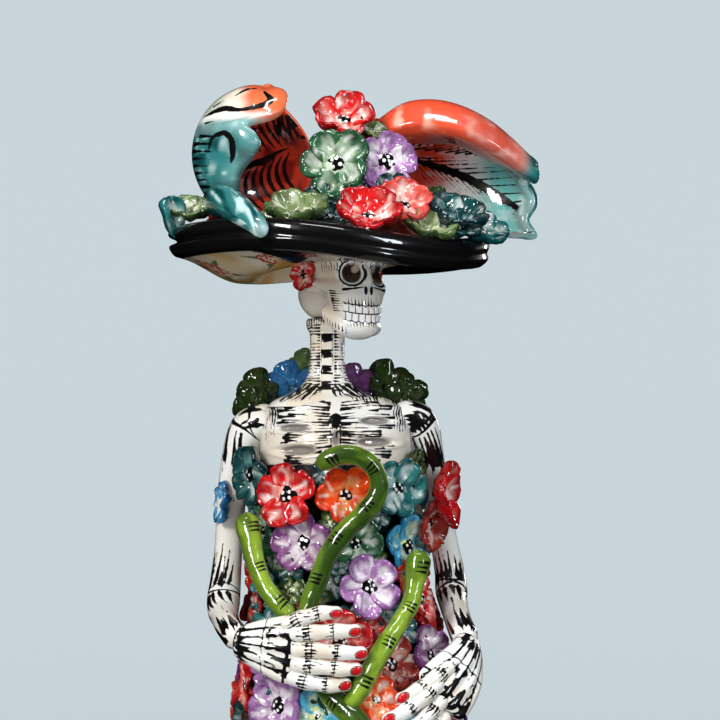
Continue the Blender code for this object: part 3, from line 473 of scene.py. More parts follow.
def add_heart(clay, rng, radius, paints, heart, seed, detail):
    """The flower's low middle, with a black heart and four pale seeds."""
    rows, columns = int(15 * detail), int(48 * detail)
    rise = np.linspace(0.02, 1, rows)[:, None]
    angle = np.linspace(0, 2 * math.pi, columns, endpoint=False)[None]
    reach = 0.38 * radius
    x, y = rise * reach * np.cos(angle), rise * reach * np.sin(angle)
    z = 0.15 * radius * (1 - 0.9 * rise**2) + 0 * angle
    spread = heart * radius
    blot = noise(np.stack((x, y), -1) / radius, 0.16, seed)
    dark = (spread * (1 + 0.45 * blot) - np.hypot(x - 0.05 * radius, y)) / MM
    for i in range(4):
        around = 2 * math.pi * (i + rng.uniform(-0.25, 0.25)) / 4 + 0.4
        away = np.hypot(x - 0.55 * spread * math.cos(around), y - 0.55 * spread * math.sin(around))
        dark = np.minimum(dark, (away - rng.uniform(0.042, 0.066) * radius) / MM)
    colour = mix(paints[2], paints[0], smoothstep(0.55, 0.95, rise + 0.8 * blot))
    colour = mix(colour, WHITE, smoothstep(0.2 * radius, 0.1 * radius, np.hypot(x, y)))
    clay.add(np.stack((x, y, z), -1), colour, dark)


def add_flower(clay, place, facing, radius, pigment, spin, seed, petals=5, heart=0.25, cup=None, detail=1.0):
    """A flower of thumb-pressed petals round a black heart. Its back is at place."""
    rng = np.random.default_rng(seed)
    start = len(clay.points)
    paints = PIGMENTS[pigment]
    opening = rng.uniform(-0.02, 0.22) if cup is None else cup
    for i in range(petals):
        turn = 2 * math.pi * (i + rng.uniform(-0.07, 0.07)) / petals
        add_petal(clay, rng, radius * rng.uniform(0.94, 1.06), paints, turn,
                  opening + rng.uniform(-0.10, 0.10), seed * 7 + i, detail)
    add_heart(clay, rng, radius, paints, heart, seed, detail)
    turn = Vector(facing).normalized().to_track_quat("Z", "Y").to_matrix().to_4x4()
    lifted = Vector(place) + Vector(facing).normalized() * 0.20 * radius
    clay.move(Matrix.Translation(lifted) @ turn @ Matrix.Rotation(spin, 4, "Z"), start)


# Front flowers, within a few millimetres of the CAD's: node, X, height, radius, pigment, extra lift
FRONT_FLOWERS = (
    ("flower_dark_teal_bust", -0.0276, 0.3038, 0.0108, "dark_teal", 0.0036),
    ("flower_red_bust", -0.0152, 0.2960, 0.0119, "red", 0.0040),
    ("flower_orange_bust", 0.0034, 0.2960, 0.0106, "orange", 0.0),
    ("flower_teal_bust", 0.0215, 0.2985, 0.0110, "teal", 0.0006),
    ("flower_purple_waist", -0.0110, 0.2772, 0.0111, "purple", 0.0),
    ("flower_olive_side", -0.0255, 0.2815, 0.0105, "green", 0.0),
    ("flower_green_waist", 0.0070, 0.2772, 0.0101, "green", 0.0),
    ("flower_blue_waist", 0.0250, 0.2755, 0.0116, "sky", 0.0),
    ("flower_lilac_waist", 0.0110, 0.2600, 0.0110, "lilac", 0.0026),
    ("flower_red_side", 0.0300, 0.2545, 0.0098, "red", 0.0),
    ("flower_red_middle", 0.0020, 0.2385, 0.0113, "red", 0.0),
    ("flower_purple_side", 0.0330, 0.2315, 0.0106, "purple", 0.0020),
    ("flower_rust_hip", 0.0200, 0.2300, 0.0104, "rust", 0.0),
    ("flower_teal_side", -0.0225, 0.2400, 0.0110, "teal", 0.0),
    ("flower_red_hip", -0.0325, 0.2205, 0.0108, "red", 0.0),
    ("flower_lilac_hip", -0.0195, 0.2140, 0.0116, "lilac", 0.0),
    ("flower_blue_hip", 0.0200, 0.2050, 0.0105, "sky", 0.0),
)
PIGMENT_SLOTS = {
    "dark_teal": "teal_glaze", "red": "red_glaze", "orange": "orange_glaze", "teal": "teal_glaze",
    "purple": "purple_glaze", "green": "green_glaze", "sky": "blue_glaze", "lilac": "lilac_glaze",
    "rust": "salmon_glaze", "salmon": "salmon_glaze", "olive": "olive_glaze", "cream": "olive_glaze",
    "blue": "blue_glaze",
}


def front_flowers():
    """The flowers that show between the arms."""
    for i, (name, x, height, radius, pigment, lift) in enumerate(FRONT_FLOWERS):
        clay = Clay()
        place, facing = seat(front_angle(x, height), height, radius, lift)
        add_flower(clay, place, facing, radius * 1.12, pigment, 0.4 * i, 11 + i)
        clay.build("bloom_" + name[7:], GLAZE_PETAL, "figure", PIGMENT_SLOTS[pigment], name)


# For each CAD garland: node, rows of height, count and radius, start and turn in degrees, pigments
GARLANDS = (
    ("garland_hip", ((0.1935, 12, 0.0125), (0.1755, 12, 0.0130)), 0, 360,
     ("purple", "red", "olive", "sky", "rust")),
    ("garland_thigh", ((0.1560, 12, 0.0135), (0.1370, 12, 0.0135)), 8, 360,
     ("teal", "orange", "lilac", "dark_teal")),
    ("garland_knee", ((0.1175, 12, 0.0138), (0.0985, 13, 0.0138)), 0, 360,
     ("red", "green", "salmon", "purple", "sky")),
    ("garland_calf", ((0.0800, 13, 0.0142), (0.0620, 14, 0.0142)), 9, 360,
     ("rust", "teal", "lilac", "olive", "red")),
    ("garland_hem", ((0.0450, 15, 0.0145), (0.0290, 17, 0.0145)), 0, 360,
     ("green", "red", "dark_teal", "purple", "orange")),
    ("garland_back_chest", ((0.3130, 5, 0.0115), (0.2970, 6, 0.0115), (0.2810, 6, 0.0115)), 20, 140,
     ("blue", "purple", "red", "green")),
    ("garland_back_waist", ((0.2650, 7, 0.0108), (0.2480, 7, 0.0112)), 11, 158,
     ("orange", "teal", "lilac", "rust")),
    ("garland_back_hip", ((0.2300, 8, 0.0120), (0.2120, 8, 0.0125)), 0, 180,
     ("green", "salmon", "dark_teal", "purple")),
)
GARLAND_SLOTS = {
    "garland_hip": "purple_glaze", "garland_thigh": "teal_glaze", "garland_knee": "red_glaze",
    "garland_calf": "salmon_glaze", "garland_hem": "olive_glaze", "garland_back_chest": "blue_glaze",
    "garland_back_waist": "orange_glaze", "garland_back_hip": "green_glaze",
}


def garlands():
    """The rows of flowers round the skirt and over the back."""
    for number, (name, rows, start, turn, pigments) in enumerate(GARLANDS):
        clay = Clay()
        rng = np.random.default_rng(100 + number)
        for row, (height, count, radius) in enumerate(rows):
            for i in range(count):
                step = i + 0.5 + (0.5 * row if turn == 360 else 0)
                angle = math.radians(start + turn * step / count)
                level = height + rng.uniform(-0.0015, 0.0015)
                place, facing = seat(angle, level, radius * 0.8)
                pigment = pigments[(2 * i + row * 3 + rng.integers(2)) % len(pigments)]
                add_flower(clay, place, facing, radius * rng.uniform(0.92, 1.05), pigment,
                           rng.uniform(0, 6.3), 1000 * number + 50 * row + i, detail=0.7)
        clay.build("blooms_" + name[8:], GLAZE_PETAL, "figure", GARLAND_SLOTS[name], name)


# ---------------------------------------------------------------- arms and hands
# Each arm from shoulder to wrist, within a few millimetres of the CAD's: X, Y, Z and radius
ARMS = {
    "right": (
        (-0.0225, 0.0005, 0.3244, 0.0062), (-0.0292, 0.0012, 0.3252, 0.0074),
        (-0.0352, 0.0030, 0.3216, 0.0079), (-0.0390, 0.0045, 0.3110, 0.0068),
        (-0.0418, 0.0055, 0.2960, 0.0059), (-0.0430, 0.0050, 0.2760, 0.0056),
        (-0.0441, 0.0030, 0.2625, 0.0061), (-0.0447, -0.0020, 0.2545, 0.0066),
        (-0.0445, -0.0085, 0.2500, 0.0061), (-0.0436, -0.0140, 0.2480, 0.0055),
        (-0.0416, -0.0250, 0.2448, 0.0051), (-0.0366, -0.0385, 0.2402, 0.0056),
    ),
    "left": (
        (0.0225, 0.0005, 0.3258, 0.0062), (0.0286, 0.0012, 0.3268, 0.0072),
        (0.0334, 0.0032, 0.3240, 0.0076), (0.0368, 0.0070, 0.3130, 0.0064),
        (0.0398, 0.0128, 0.2970, 0.0056), (0.0435, 0.0197, 0.2780, 0.0055),
        (0.0460, 0.0212, 0.2650, 0.0061), (0.0466, 0.0160, 0.2575, 0.0065),
        (0.0470, 0.0104, 0.2530, 0.0058), (0.0486, -0.0060, 0.2460, 0.0053),
        (0.0511, -0.0230, 0.2392, 0.0056),
    ),
}
SHOULDER, ELBOW = 13.0, 0.675  # millimetres along an arm, and share of its length
ARM_ROUND = 2 * math.pi * 5.6  # millimetres round an arm, on average


def bone_colour(u, v, seed):
    """Bone white with warm patches, for points along and round a limb in millimetres."""
    patch = noise(np.stack((u, v), -1), 9.0, seed)
    colour = mix(BONE, 0.92 * WHITE, smoothstep(-0.2, 0.6, patch))
    return mix(colour, BONE_WARM, 0.45 * smoothstep(0.25, 0.9, -patch))


def limb_strokes(rng, length, round_mm, joints):
    """Brush strokes that fan both ways along a limb from each joint, and a few fine ones between.
    A joint is its place along the limb, its reach up and down, and where along that a stroke is widest."""
    rows = []
    count = 16
    for joint, reach_up, reach_down, fullest in joints:
        for i in range(count):
            v = round_mm * (-0.5 + (i + rng.uniform(-0.3, 0.3)) / count)
            for reach in (-reach_up, reach_down):
                if rng.uniform() < 0.88 and reach:
                    start = joint + reach * rng.uniform(0.03, 0.15)
                    full = joint + reach * (fullest + rng.uniform(-0.06, 0.12))
                    end = joint + reach * rng.uniform(0.75, 1.20)
                    drift, width = rng.uniform(-0.9, 0.9), rng.uniform(1.7, 3.4)
                    rows.append((start, v, full, v + 0.3 * drift, 0.25 * width, width))
                    rows.append((full, v + 0.3 * drift, end, v + drift, width, 0.03))
    for _ in range(36):
        u, v = rng.uniform(2, length - 2), rng.uniform(-0.5, 0.5) * round_mm
        reach = rng.choice((-1, 1)) * rng.uniform(5, 15)
        rows.append((u, v, u + reach, v + rng.uniform(-0.4, 0.4), rng.uniform(0.3, 1.2), 0.02))
    return rows


def arms():
    """Each arm in one sweep, with rings inked at the elbow and shoulder."""
    for number, (side, line) in enumerate(ARMS.items()):
        rng = np.random.default_rng(300 + number)
        clay = Clay()
        grid, u, v, angle = tube(curve_points(line, 8), sides=84, spacing=0.00042)
        length = u.max()
        elbow = ELBOW * length
        joints = ((SHOULDER, 8, 21, 0.62), (elbow, 22, 13, 0.18), (length - 1, 18, 0, 0.18))
        rows = limb_strokes(rng, length, ARM_ROUND, joints)
        ink = strokes(u, v, rows, wobble=0.16, seed=number)
        rings = ((0.0, 0.60), (-3.0, 0.40), (SHOULDER - elbow, 0.55), (SHOULDER - 3 - elbow, 0.40))
        for shift, width in rings:
            ink = np.maximum(ink, width - np.abs(u - elbow - shift - np.sin(2 * angle + shift)))
        clay.add(grid, bone_colour(u, v, 30 + number), ink)
        clay.build(side + "_arm_bones", GLAZE_BONE, "figure", "bone_glaze",
                   side + "_upper_arm", side + "_forearm")


# Each hand: its palm as rows of place, half width and half thickness, the way across the palm, the way
# its nails face, and its fingers from palm to tip
HANDS = {
    "right": {
        "palm": (
            (-0.0366, -0.0385, 0.2402, 0.0061, 0.0048), (-0.0338, -0.0425, 0.2395, 0.0076, 0.0046),
            (-0.0275, -0.0462, 0.2388, 0.0102, 0.0043), (-0.0200, -0.0490, 0.2378, 0.0127, 0.0037),
            (-0.0138, -0.0503, 0.2370, 0.0133, 0.0030),
        ),
        "across": (0.12, 0.0, 1.0),
        "out": (0.1, -1.0, 0.0),
        "fingers": (
            ((-0.0205, -0.0492, 0.2460), (-0.0120, -0.0508, 0.2495),
             (-0.0040, -0.0512, 0.2514), (0.0030, -0.0500, 0.2512)),
            ((-0.0180, -0.0502, 0.2432), (-0.0080, -0.0519, 0.2440),
             (0.0010, -0.0524, 0.2445), (0.0102, -0.0507, 0.2446)),
            ((-0.0175, -0.0504, 0.2376), (-0.0070, -0.0524, 0.2372),
             (0.0030, -0.0528, 0.2365), (0.0125, -0.0510, 0.2360)),
            ((-0.0175, -0.0504, 0.2322), (-0.0070, -0.0522, 0.2312),
             (0.0020, -0.0526, 0.2302), (0.0106, -0.0507, 0.2300)),
            ((-0.0185, -0.0500, 0.2276), (-0.0100, -0.0512, 0.2252),
             (-0.0015, -0.0517, 0.2240), (0.0064, -0.0502, 0.2245)),
        ),
    },
    "left": {
        "palm": (
            (0.0511, -0.0228, 0.2392, 0.0058, 0.0048), (0.0512, -0.0290, 0.2352, 0.0078, 0.0045),
            (0.0486, -0.0365, 0.2290, 0.0108, 0.0040), (0.0434, -0.0430, 0.2224, 0.0126, 0.0036),
            (0.0390, -0.0465, 0.2178, 0.0124, 0.0030),
        ),
        "across": (0.50, 0.0, -0.87),
        "out": (0.5, -0.75, 0.3),
        "fingers": (
            ((0.0450, -0.0405, 0.2310), (0.0380, -0.0465, 0.2262),
             (0.0305, -0.0512, 0.2215), (0.0232, -0.0530, 0.2178)),
            ((0.0405, -0.0450, 0.2255), (0.0330, -0.0515, 0.2190),
             (0.0260, -0.0545, 0.2140), (0.0180, -0.0550, 0.2103)),
            ((0.0418, -0.0452, 0.2190), (0.0345, -0.0515, 0.2120),
             (0.0270, -0.0545, 0.2068), (0.0192, -0.0550, 0.2028)),
            ((0.0430, -0.0445, 0.2130), (0.0360, -0.0500, 0.2058),
             (0.0290, -0.0532, 0.2005), (0.0222, -0.0540, 0.1963)),
        ),
    },
}


def palm_strokes(rng, length):
    """The back of the hand's long bones, brushed from the wrist to the knuckles, and lines across it."""
    rows = []
    for i in range(5):
        v0, v1 = -4.4 + 2.2 * i, -10.4 + 5.2 * i
        rows.append((0.16 * length, v0, 0.98 * length, v1, 0.95, 0.5))
        rows.append((0.98 * length, v1 + 1.0, 0.62 * length, 0.4 * v0 + 0.6 * v1 + 0.6, 1.9, 0.1))
        rows.append((0.98 * length, v1 - 1.2, 0.70 * length, 0.4 * v0 + 0.6 * v1 - 0.8, 1.3, 0.1))
    for _ in range(54):
        v0 = rng.uniform(-1, 1)
        start = rng.choice((0.05, 0.17, 0.56)) + rng.uniform(0.0, 0.05)
        end = start * length + rng.uniform(2.5, 7)
        rows.append((start * length, v0 * (5 + 5 * start), end, v0 * (7 + 5 * start),
                     rng.uniform(0.35, 1.15), 0.03))
    rows.append((0.09 * length, -8, 0.12 * length, 8, 0.8, 0.8))
    rows.append((0.19 * length, -9, 0.17 * length, 9, 0.6, 0.7))
    rows.append((0.84 * length, -13, 0.90 * length, 13, 1.2, 1.4))
    rows.append((0.52 * length, -12, 0.50 * length, 12, 0.5, 0.5))
    return rows


def add_palm(clay, shape, rng, seed):
    """The back of the hand, ridged towards the knuckles."""
    line, along = resample(curve_points(shape["palm"], 10), 0.00045)
    centres = line[:, :3]
    ahead = unit(np.gradient(centres, axis=0))
    across = np.asarray(shape["across"]) - ahead * (ahead @ np.asarray(shape["across"]))[:, None]
    across = unit(across)
    out = np.cross(ahead, across)
    angle = np.linspace(0, 2 * math.pi, 84, endpoint=False)
    reach = along[-1]
    taper = np.ones(len(along))
    for gap, r in ((along, 0.004), (reach - along, 0.003)):
        taper = np.where(gap < r, taper * np.sqrt(np.clip(1 - (1 - gap / r) ** 2, 0.002, 1)), taper)
    width = line[:, 3] * (0.55 + 0.45 * taper)
    thick = line[:, 4] * taper
    c, s = np.cos(angle)[None, :, None], np.sin(angle)[None, :, None]
    knuckles = smoothstep(0.25, 0.6, along / reach)[:, None, None]
    ridges = 1 + 0.12 * np.cos(np.cos(angle) * 4.5 * math.pi)[None, :, None] * knuckles
    grid = centres[:, None] + across[:, None] * c * width[:, None, None]
    grid = grid + out[:, None] * s * thick[:, None, None] * ridges
    u = np.broadcast_to(along[:, None] / MM, grid.shape[:2])
    v = np.broadcast_to(np.cos(angle)[None] * line[:, 3][:, None] / MM, grid.shape[:2])
    ink = strokes(u, v, palm_strokes(rng, u.max()), wobble=0.14, seed=seed)
    clay.add(grid, bone_colour(u, v, seed), ink)


NAIL_RED = np.array((0.52, 0.008, 0.012))


def finger_strokes(rng, length, top):
    """Dashes along the finger at its two joints with a ring through each, and a few fine ones between."""
    rows = []
    for joint, block in ((0.30, 2.0), (0.62, 1.1)):
        for i in range(5):
            v0 = top + 1.5 * (i - 2)
            start = joint * length + rng.uniform(-0.5, 0.5)
            rows.append((start - block, v0, start + block * rng.uniform(0.7, 1.6),
                         v0 + rng.uniform(-0.2, 0.2), rng.uniform(0.7, 1.3), 0.1))
        ring = joint * length
        rows.append((ring, top - 5, ring + rng.uniform(-0.4, 0.4), top + 5, 0.4, 0.4))
    for _ in range(9):
        v0 = top + rng.uniform(-4.5, 4.5)
        start = rng.uniform(0.02, 0.6) * length
        rows.append((start, v0, start + rng.uniform(2, 5), v0, rng.uniform(0.3, 0.7), 0.03))
    return rows


def add_finger(clay, points, rng, seed, out):
    """One finger of three bones, with inked joints and a red nail."""
    line, along = resample(curve_points([(*p, 1.0) for p in points], 10), 0.00035)
    share = along / along[-1]
    bone = 0.5 - 0.5 * np.cos(6 * math.pi * share)
    line[:, 3] = (0.0034 - 0.0007 * share) * (1.06 - 0.14 * bone)
    grid, u, v, _ = tube(line, sides=44, spacing=0.00035, side=np.cross(out, points[-1] - points[0]))
    top = math.pi / 2 * line[:, 3].mean() / MM
    ink = strokes(u, v, finger_strokes(rng, u.max(), top), wobble=0.08, seed=seed)
    nail = np.hypot((u - u.max() + 2.6) / 2.5, (v - top) / 1.9) - 1
    colour = mix(bone_colour(u, v, seed), NAIL_RED, smoothstep(0.08, -0.08, nail))
    ink = np.where(nail < 0.25, 0.5 * (0.16 - np.abs(nail - 0.12)), ink)
    clay.add(grid, colour, ink)


def hands():
    """Both hands, each in one piece."""
    for number, (side, shape) in enumerate(HANDS.items()):
        rng = np.random.default_rng(400 + number)
        clay = Clay()
        add_palm(clay, shape, rng, 40 + number)
        for i, points in enumerate(shape["fingers"]):
            add_finger(clay, np.array(points), rng, 60 + 10 * number + i, np.array(shape["out"]))
        clay.build(side + "_hand_bones", GLAZE_BONE, "figure", "bone_glaze", side + "_hand")


# ---------------------------------------------------------------- stems
# Each stem: X, Y, Z and radius
STEMS = {
    "stem_long": (
        (-0.0060, -0.0385, 0.3060, 0.0026), (-0.0034, -0.0392, 0.3092, 0.0038),
        (0.0025, -0.0402, 0.3116, 0.0038), (0.0095, -0.0400, 0.3108, 0.0036),
        (0.0148, -0.0394, 0.3065, 0.0036), (0.0168, -0.0390, 0.2998, 0.0037),
        (0.0150, -0.0392, 0.2939, 0.0039), (0.0106, -0.0396, 0.2887, 0.0040),
        (0.0053, -0.0398, 0.2836, 0.0040), (0.0003, -0.0398, 0.2776, 0.0040),
        (-0.0035, -0.0395, 0.2710, 0.0039), (-0.0066, -0.0392, 0.2630, 0.0038),
        (-0.0096, -0.0394, 0.2553, 0.0037), (-0.0112, -0.0404, 0.2460, 0.0034),
        (-0.0095, -0.0412, 0.2360, 0.0034), (-0.0062, -0.0422, 0.2270, 0.0037),
        (-0.0019, -0.0440, 0.2199, 0.0041), (0.0025, -0.0462, 0.2155, 0.0043),
        (0.0080, -0.0488, 0.2108, 0.0044), (0.0125, -0.0500, 0.2045, 0.0042),
        (0.0140, -0.0502, 0.1975, 0.0038),
    ),
    "stem_right": (
        (-0.0346, -0.0240, 0.2892, 0.0036), (-0.0340, -0.0262, 0.2836, 0.0048),
        (-0.0324, -0.0292, 0.2760, 0.0042), (-0.0302, -0.0322, 0.2680, 0.0037),
        (-0.0268, -0.0356, 0.2605, 0.0036), (-0.0222, -0.0386, 0.2548, 0.0037),
        (-0.0165, -0.0405, 0.2485, 0.0036),
    ),
    "stem_left": (
        (0.0326, -0.0268, 0.2742, 0.0040), (0.0321, -0.0292, 0.2695, 0.0050),
        (0.0308, -0.0312, 0.2620, 0.0038), (0.0292, -0.0334, 0.2546, 0.0037),
        (0.0254, -0.0376, 0.2480, 0.0037), (0.0207, -0.0420, 0.2409, 0.0038),
        (0.0162, -0.0452, 0.2337, 0.0039), (0.0120, -0.0468, 0.2266, 0.0039),
        (0.0077, -0.0475, 0.2192, 0.0038), (0.0045, -0.0472, 0.2148, 0.0034),
    ),
}
# Stem greens: lime for painted light, the body's green, and a deep green for painted shade and the bud.
STEM_LIT = np.array((0.25, 0.38, 0.030))
STEM_BODY = np.array((0.110, 0.195, 0.014))
STEM_SHADE_AND_BUD = np.array((0.030, 0.068, 0.008))


def stem_colour(grid, u, v, angle, number):
    """Lime as painted light where the light falls, dark green as painted shade below, and a bud's green at
    the upper end.
    """
    light = np.sin(angle + 0.5)
    patch = noise(np.stack((u * 0.35, v), -1), 3.5, 70 + number)
    patch = patch + 0.6 * noise(np.stack((u * 0.6, v), -1), 1.6, 80 + number)
    colour = mix(STEM_BODY, STEM_SHADE_AND_BUD, smoothstep(0.1, 1.0, -light + 0.5 * patch))
    colour = mix(colour, STEM_LIT, 0.85 * smoothstep(0.40, 1.10, light + 0.55 * patch))
    bud = smoothstep(12, 5, u) * smoothstep(0.7, 0.0, patch)
    return mix(colour, mix(STEM_BODY, STEM_SHADE_AND_BUD, 0.5), 0.85 * bud)


def stem_strokes(length):
    """Groups of three short dashes, on both sides of a stem."""
    rows = []
    group = 5.5
    while group < length - 4:
        for i in range(3):
            for side in (-5.0, 5.0):
                rows.append((group + 1.7 * i, side - 2.2, group + 1.7 * i + 0.6, side + 2.4, 1.15, 0.4))
        group += 17
    return rows


def stems():
    """The bouquet's three stems."""
    for number, (name, line) in enumerate(STEMS.items()):
        clay = Clay()
        grid, u, v, angle = tube(curve_points(line, 8), sides=64, spacing=0.0004)
        middle = grid.mean(axis=1, keepdims=True)
        grid = middle + (grid - middle) * (1 + 0.07 * noise(grid, 0.0042, 90 + number)[..., None])
        ink = strokes(u, v, stem_strokes(u.max()), wobble=0.08, seed=number)
        clay.add(grid, stem_colour(grid, u, v, angle, number), ink)
        clay.build("painted_" + name, GLAZE_STEM, "figure", "stem_glaze", name)


# ---------------------------------------------------------------- chest and neck
NECK_AXIS = np.array((-0.0035, 0.0020))
CHEST_LOW, CHEST_HIGH = 0.3003, 0.3350
# The gaps between the ribs: X, Z, half width and half height
RIB_GAPS = ((-0.0172, 0.3224, 0.0070, 0.0017), (-0.0150, 0.3136, 0.0085, 0.0022),
            (0.0158, 0.3252, 0.0070, 0.0017), (0.0155, 0.3168, 0.0080, 0.0020))
RIB_SHADE, BREASTBONE_DARK = (0.16, 0.14, 0.12), (0.10, 0.07, 0.06)


def chest_ink(rng, x, z):
    """Brush strokes on the chest, from its X and height in millimetres: they fan from the breastbone,
    come in from the shoulders and hang from the collar bones."""
    rows = []
    for side in (-1, 1):
        for i in range(22):
            level = 308.5 + 1.15 * i + rng.uniform(-0.3, 0.3)
            start = side * rng.uniform(1.2, 3.0)
            reach = side * rng.uniform(4, 15)
            rows.append((start, level, start + reach, level + 0.16 * (level - 323),
                         rng.uniform(0.5, 1.2), 0.03))
            start = side * rng.uniform(16, 23)
            rows.append((start, level, start - side * rng.uniform(4, 11), level + rng.uniform(-0.4, 0.4),
                         rng.uniform(0.6, 1.5), 0.03))
        for i in range(8):
            across = side * (22.5 + 1.1 * i)
            rows.append((across, 335, across + side * 0.8, 318 + rng.uniform(-3, 6),
                         rng.uniform(0.7, 1.5), 0.1))
        for i in range(12):
            across = side * (6 + 1.4 * i)
            rows.append((across, 336, across + side * 1.5, 331.5 + rng.uniform(-1, 1.5),
                         rng.uniform(0.5, 1.1), 0.05))
    rows += [(0, 325.9, 0, 323.6, 4.6, 3.0), (-2.0, 323, -1.7, 316, 0.5, 0.6), (2.0, 323, 1.7, 316, 0.5, 0.6)]
    rows += [(dx, 323, dx * 0.8, 317, 0.4, 0.1) for dx in (-0.9, -0.2, 0.6)]
    return strokes(x, z, rows, wobble=0.16, seed=21)


# Rings of the chest: height, half width, half depth and X of the middle
CHEST_SECTIONS = np.array((
    (0.2950, 0.0300, 0.0252, 0.0), (0.3050, 0.0303, 0.0247, 0.0), (0.3150, 0.0305, 0.0235, 0.0),
    (0.3215, 0.0302, 0.0216, 0.0), (0.3265, 0.0287, 0.0193, 0.0), (0.3305, 0.0262, 0.0169, 0.0),
    (0.3335, 0.0225, 0.0142, 0.0), (0.3355, 0.0180, 0.0118, 0.0),
))


def chest_form(level, angle):
    """The chest at each height and angle: its points, X and Z before the ribs are pressed in, where the
    front is, and how deep each point lies in a gap between ribs."""
    half_x, half_y, middle = along_table(CHEST_SECTIONS, level)
    soften = smoothstep(0.331, CHEST_HIGH, level)
    c, s = np.cos(angle)[None], np.sin(angle)[None]
    x = middle[:, None] + half_x[:, None] * c
    y = half_y[:, None] * s
    z = level[:, None] + 0 * x
    push, shade = np.zeros_like(x), np.zeros_like(x)
    front = s < -0.1
    for gx, gz, gw, gh in RIB_GAPS:
        away = np.hypot((x - gx) / gw, (z - gz) / gh)
        inside = smoothstep(1.15, 0.35, away) * front
        push -= 0.0026 * inside
        shade = np.maximum(shade, inside)
        push += 0.0005 * np.exp(-(((away - 1.35) / 0.25) ** 2)) * front
    push += 0.0007 * np.exp(-((x / 0.0026) ** 2)) * smoothstep(0.3165, 0.3190, z) * front
    for side in (-1, 1):
        line = 0.3318 - 0.0010 * np.clip((side * x - 0.008) / 0.02, 0, 1)
        collar = np.exp(-(((z - line) / 0.0013) ** 2)) * smoothstep(0.004, 0.010, side * x) * front
        push += 0.0009 * collar * (1 - soften[:, None])
    return np.stack((x + push * c, y + push * s, z), -1), x, z, front, shade


def chest():
    """The ribs and collar bones above the neckline, hollow behind as the CAD's shell is."""
    clay = Clay()
    rng = np.random.default_rng(500)
    rows, columns = 110, 320
    level = CHEST_LOW + (CHEST_HIGH - CHEST_LOW) * np.linspace(0, 1, rows) ** 0.8
    angle = np.linspace(0, 2 * math.pi, columns, endpoint=False)
    grid, x, z, front, shade = chest_form(level, angle)
    colour = bone_colour(x / MM * 0.8, z / MM, 81)
    colour = mix(colour, BONE_WARM, 0.35 * smoothstep(0.324, 0.319, z) * front)
    colour = mix(colour, RIB_SHADE, 0.85 * smoothstep(0.10, 0.55, shade))
    breastbone = np.hypot(x / 0.0022, (z - 0.3185) / 0.0042)
    colour = mix(colour, BREASTBONE_DARK, 0.8 * smoothstep(1.1, 0.5, breastbone) * front)
    colour = mix(colour, BLACK, smoothstep(0.3086, 0.3076, z + 0.0006 * noise(grid, 0.004, 82)))
    ink = chest_ink(rng, x / MM, z / MM)
    back = np.sin(angle)[None] > 0.1
    ink = np.where(front, ink, np.where(back, chest_ink(rng, x / MM, z / MM), NO_INK))
    ink = np.where(shade > 0.25, NO_INK, ink)
    clay.add(grid, colour, ink)
    clay.build("chest_bones", GLAZE_BONE, "figure", "bone_glaze", "rib_cage")


# Rings of the neck: height, half width and half depth
NECK_SECTIONS = np.array((
    (0.3310, 0.0240, 0.0152), (0.3330, 0.0224, 0.0142), (0.3345, 0.0200, 0.0130),
    (0.3362, 0.0160, 0.0115), (0.3384, 0.0122, 0.0101), (0.3415, 0.0092, 0.0086),
    (0.3455, 0.0075, 0.0074), (0.3520, 0.0070, 0.0070), (0.3600, 0.0070, 0.0070),
    (0.3622, 0.0079, 0.0079), (0.3640, 0.0084, 0.0084), (0.3655, 0.0084, 0.0084),
    (0.3665, 0.0078, 0.0078),
))
BORE, BORE_FLOOR = 0.00315, 0.3480  # radius of the hole for the peg, and its lowest point drawn
SPINE_PITCH = 6.35  # millimetres from one block of the spine to the next
OFF_SPINE = 30.0  # a distance from the spine at which nothing of it shows


def neck_strokes(rng):
    """The neck's brushwork: across the spine's blocks, beside them, and at the collar and the foot."""
    rows = []
    for i in range(4):
        for lift in (-1.3, -0.5, 0.3, 1.1):
            v = 339.6 + SPINE_PITCH * i + lift
            rows.append((-rng.uniform(1.4, 2.1), v, rng.uniform(1.4, 2.1), v + rng.uniform(-0.3, 0.3),
                         1.2, 0.8))
    for i in range(22):
        v = 337.5 + 1.25 * i
        for side in (-1, 1):
            rows.append((side * 3.1, v, side * rng.uniform(4.5, 8.0), v + rng.uniform(-0.3, 0.3),
                         rng.uniform(0.5, 1.0), 0.1))
            rows.append((side * 8.0, v + 0.5, side * rng.uniform(4.8, 6.5), v + 0.5,
                         rng.uniform(0.4, 0.8), 0.05))
    for i in range(20):
        u0 = -9 + 0.95 * i
        rows.append((u0, 366.4, u0, 363.2 + rng.uniform(-0.8, 0.6), 0.8, 0.1))
        rows.append((0.9 * u0, 339.0 + rng.uniform(-0.5, 1.5), 2.2 * u0, 333.0 + rng.uniform(-1, 1),
                     0.9, 0.1))
        rows.append((1.5 * u0, 336.0 + rng.uniform(-0.8, 0.8), 2.6 * u0, 332.4, rng.uniform(0.4, 0.8), 0.1))
    return rows


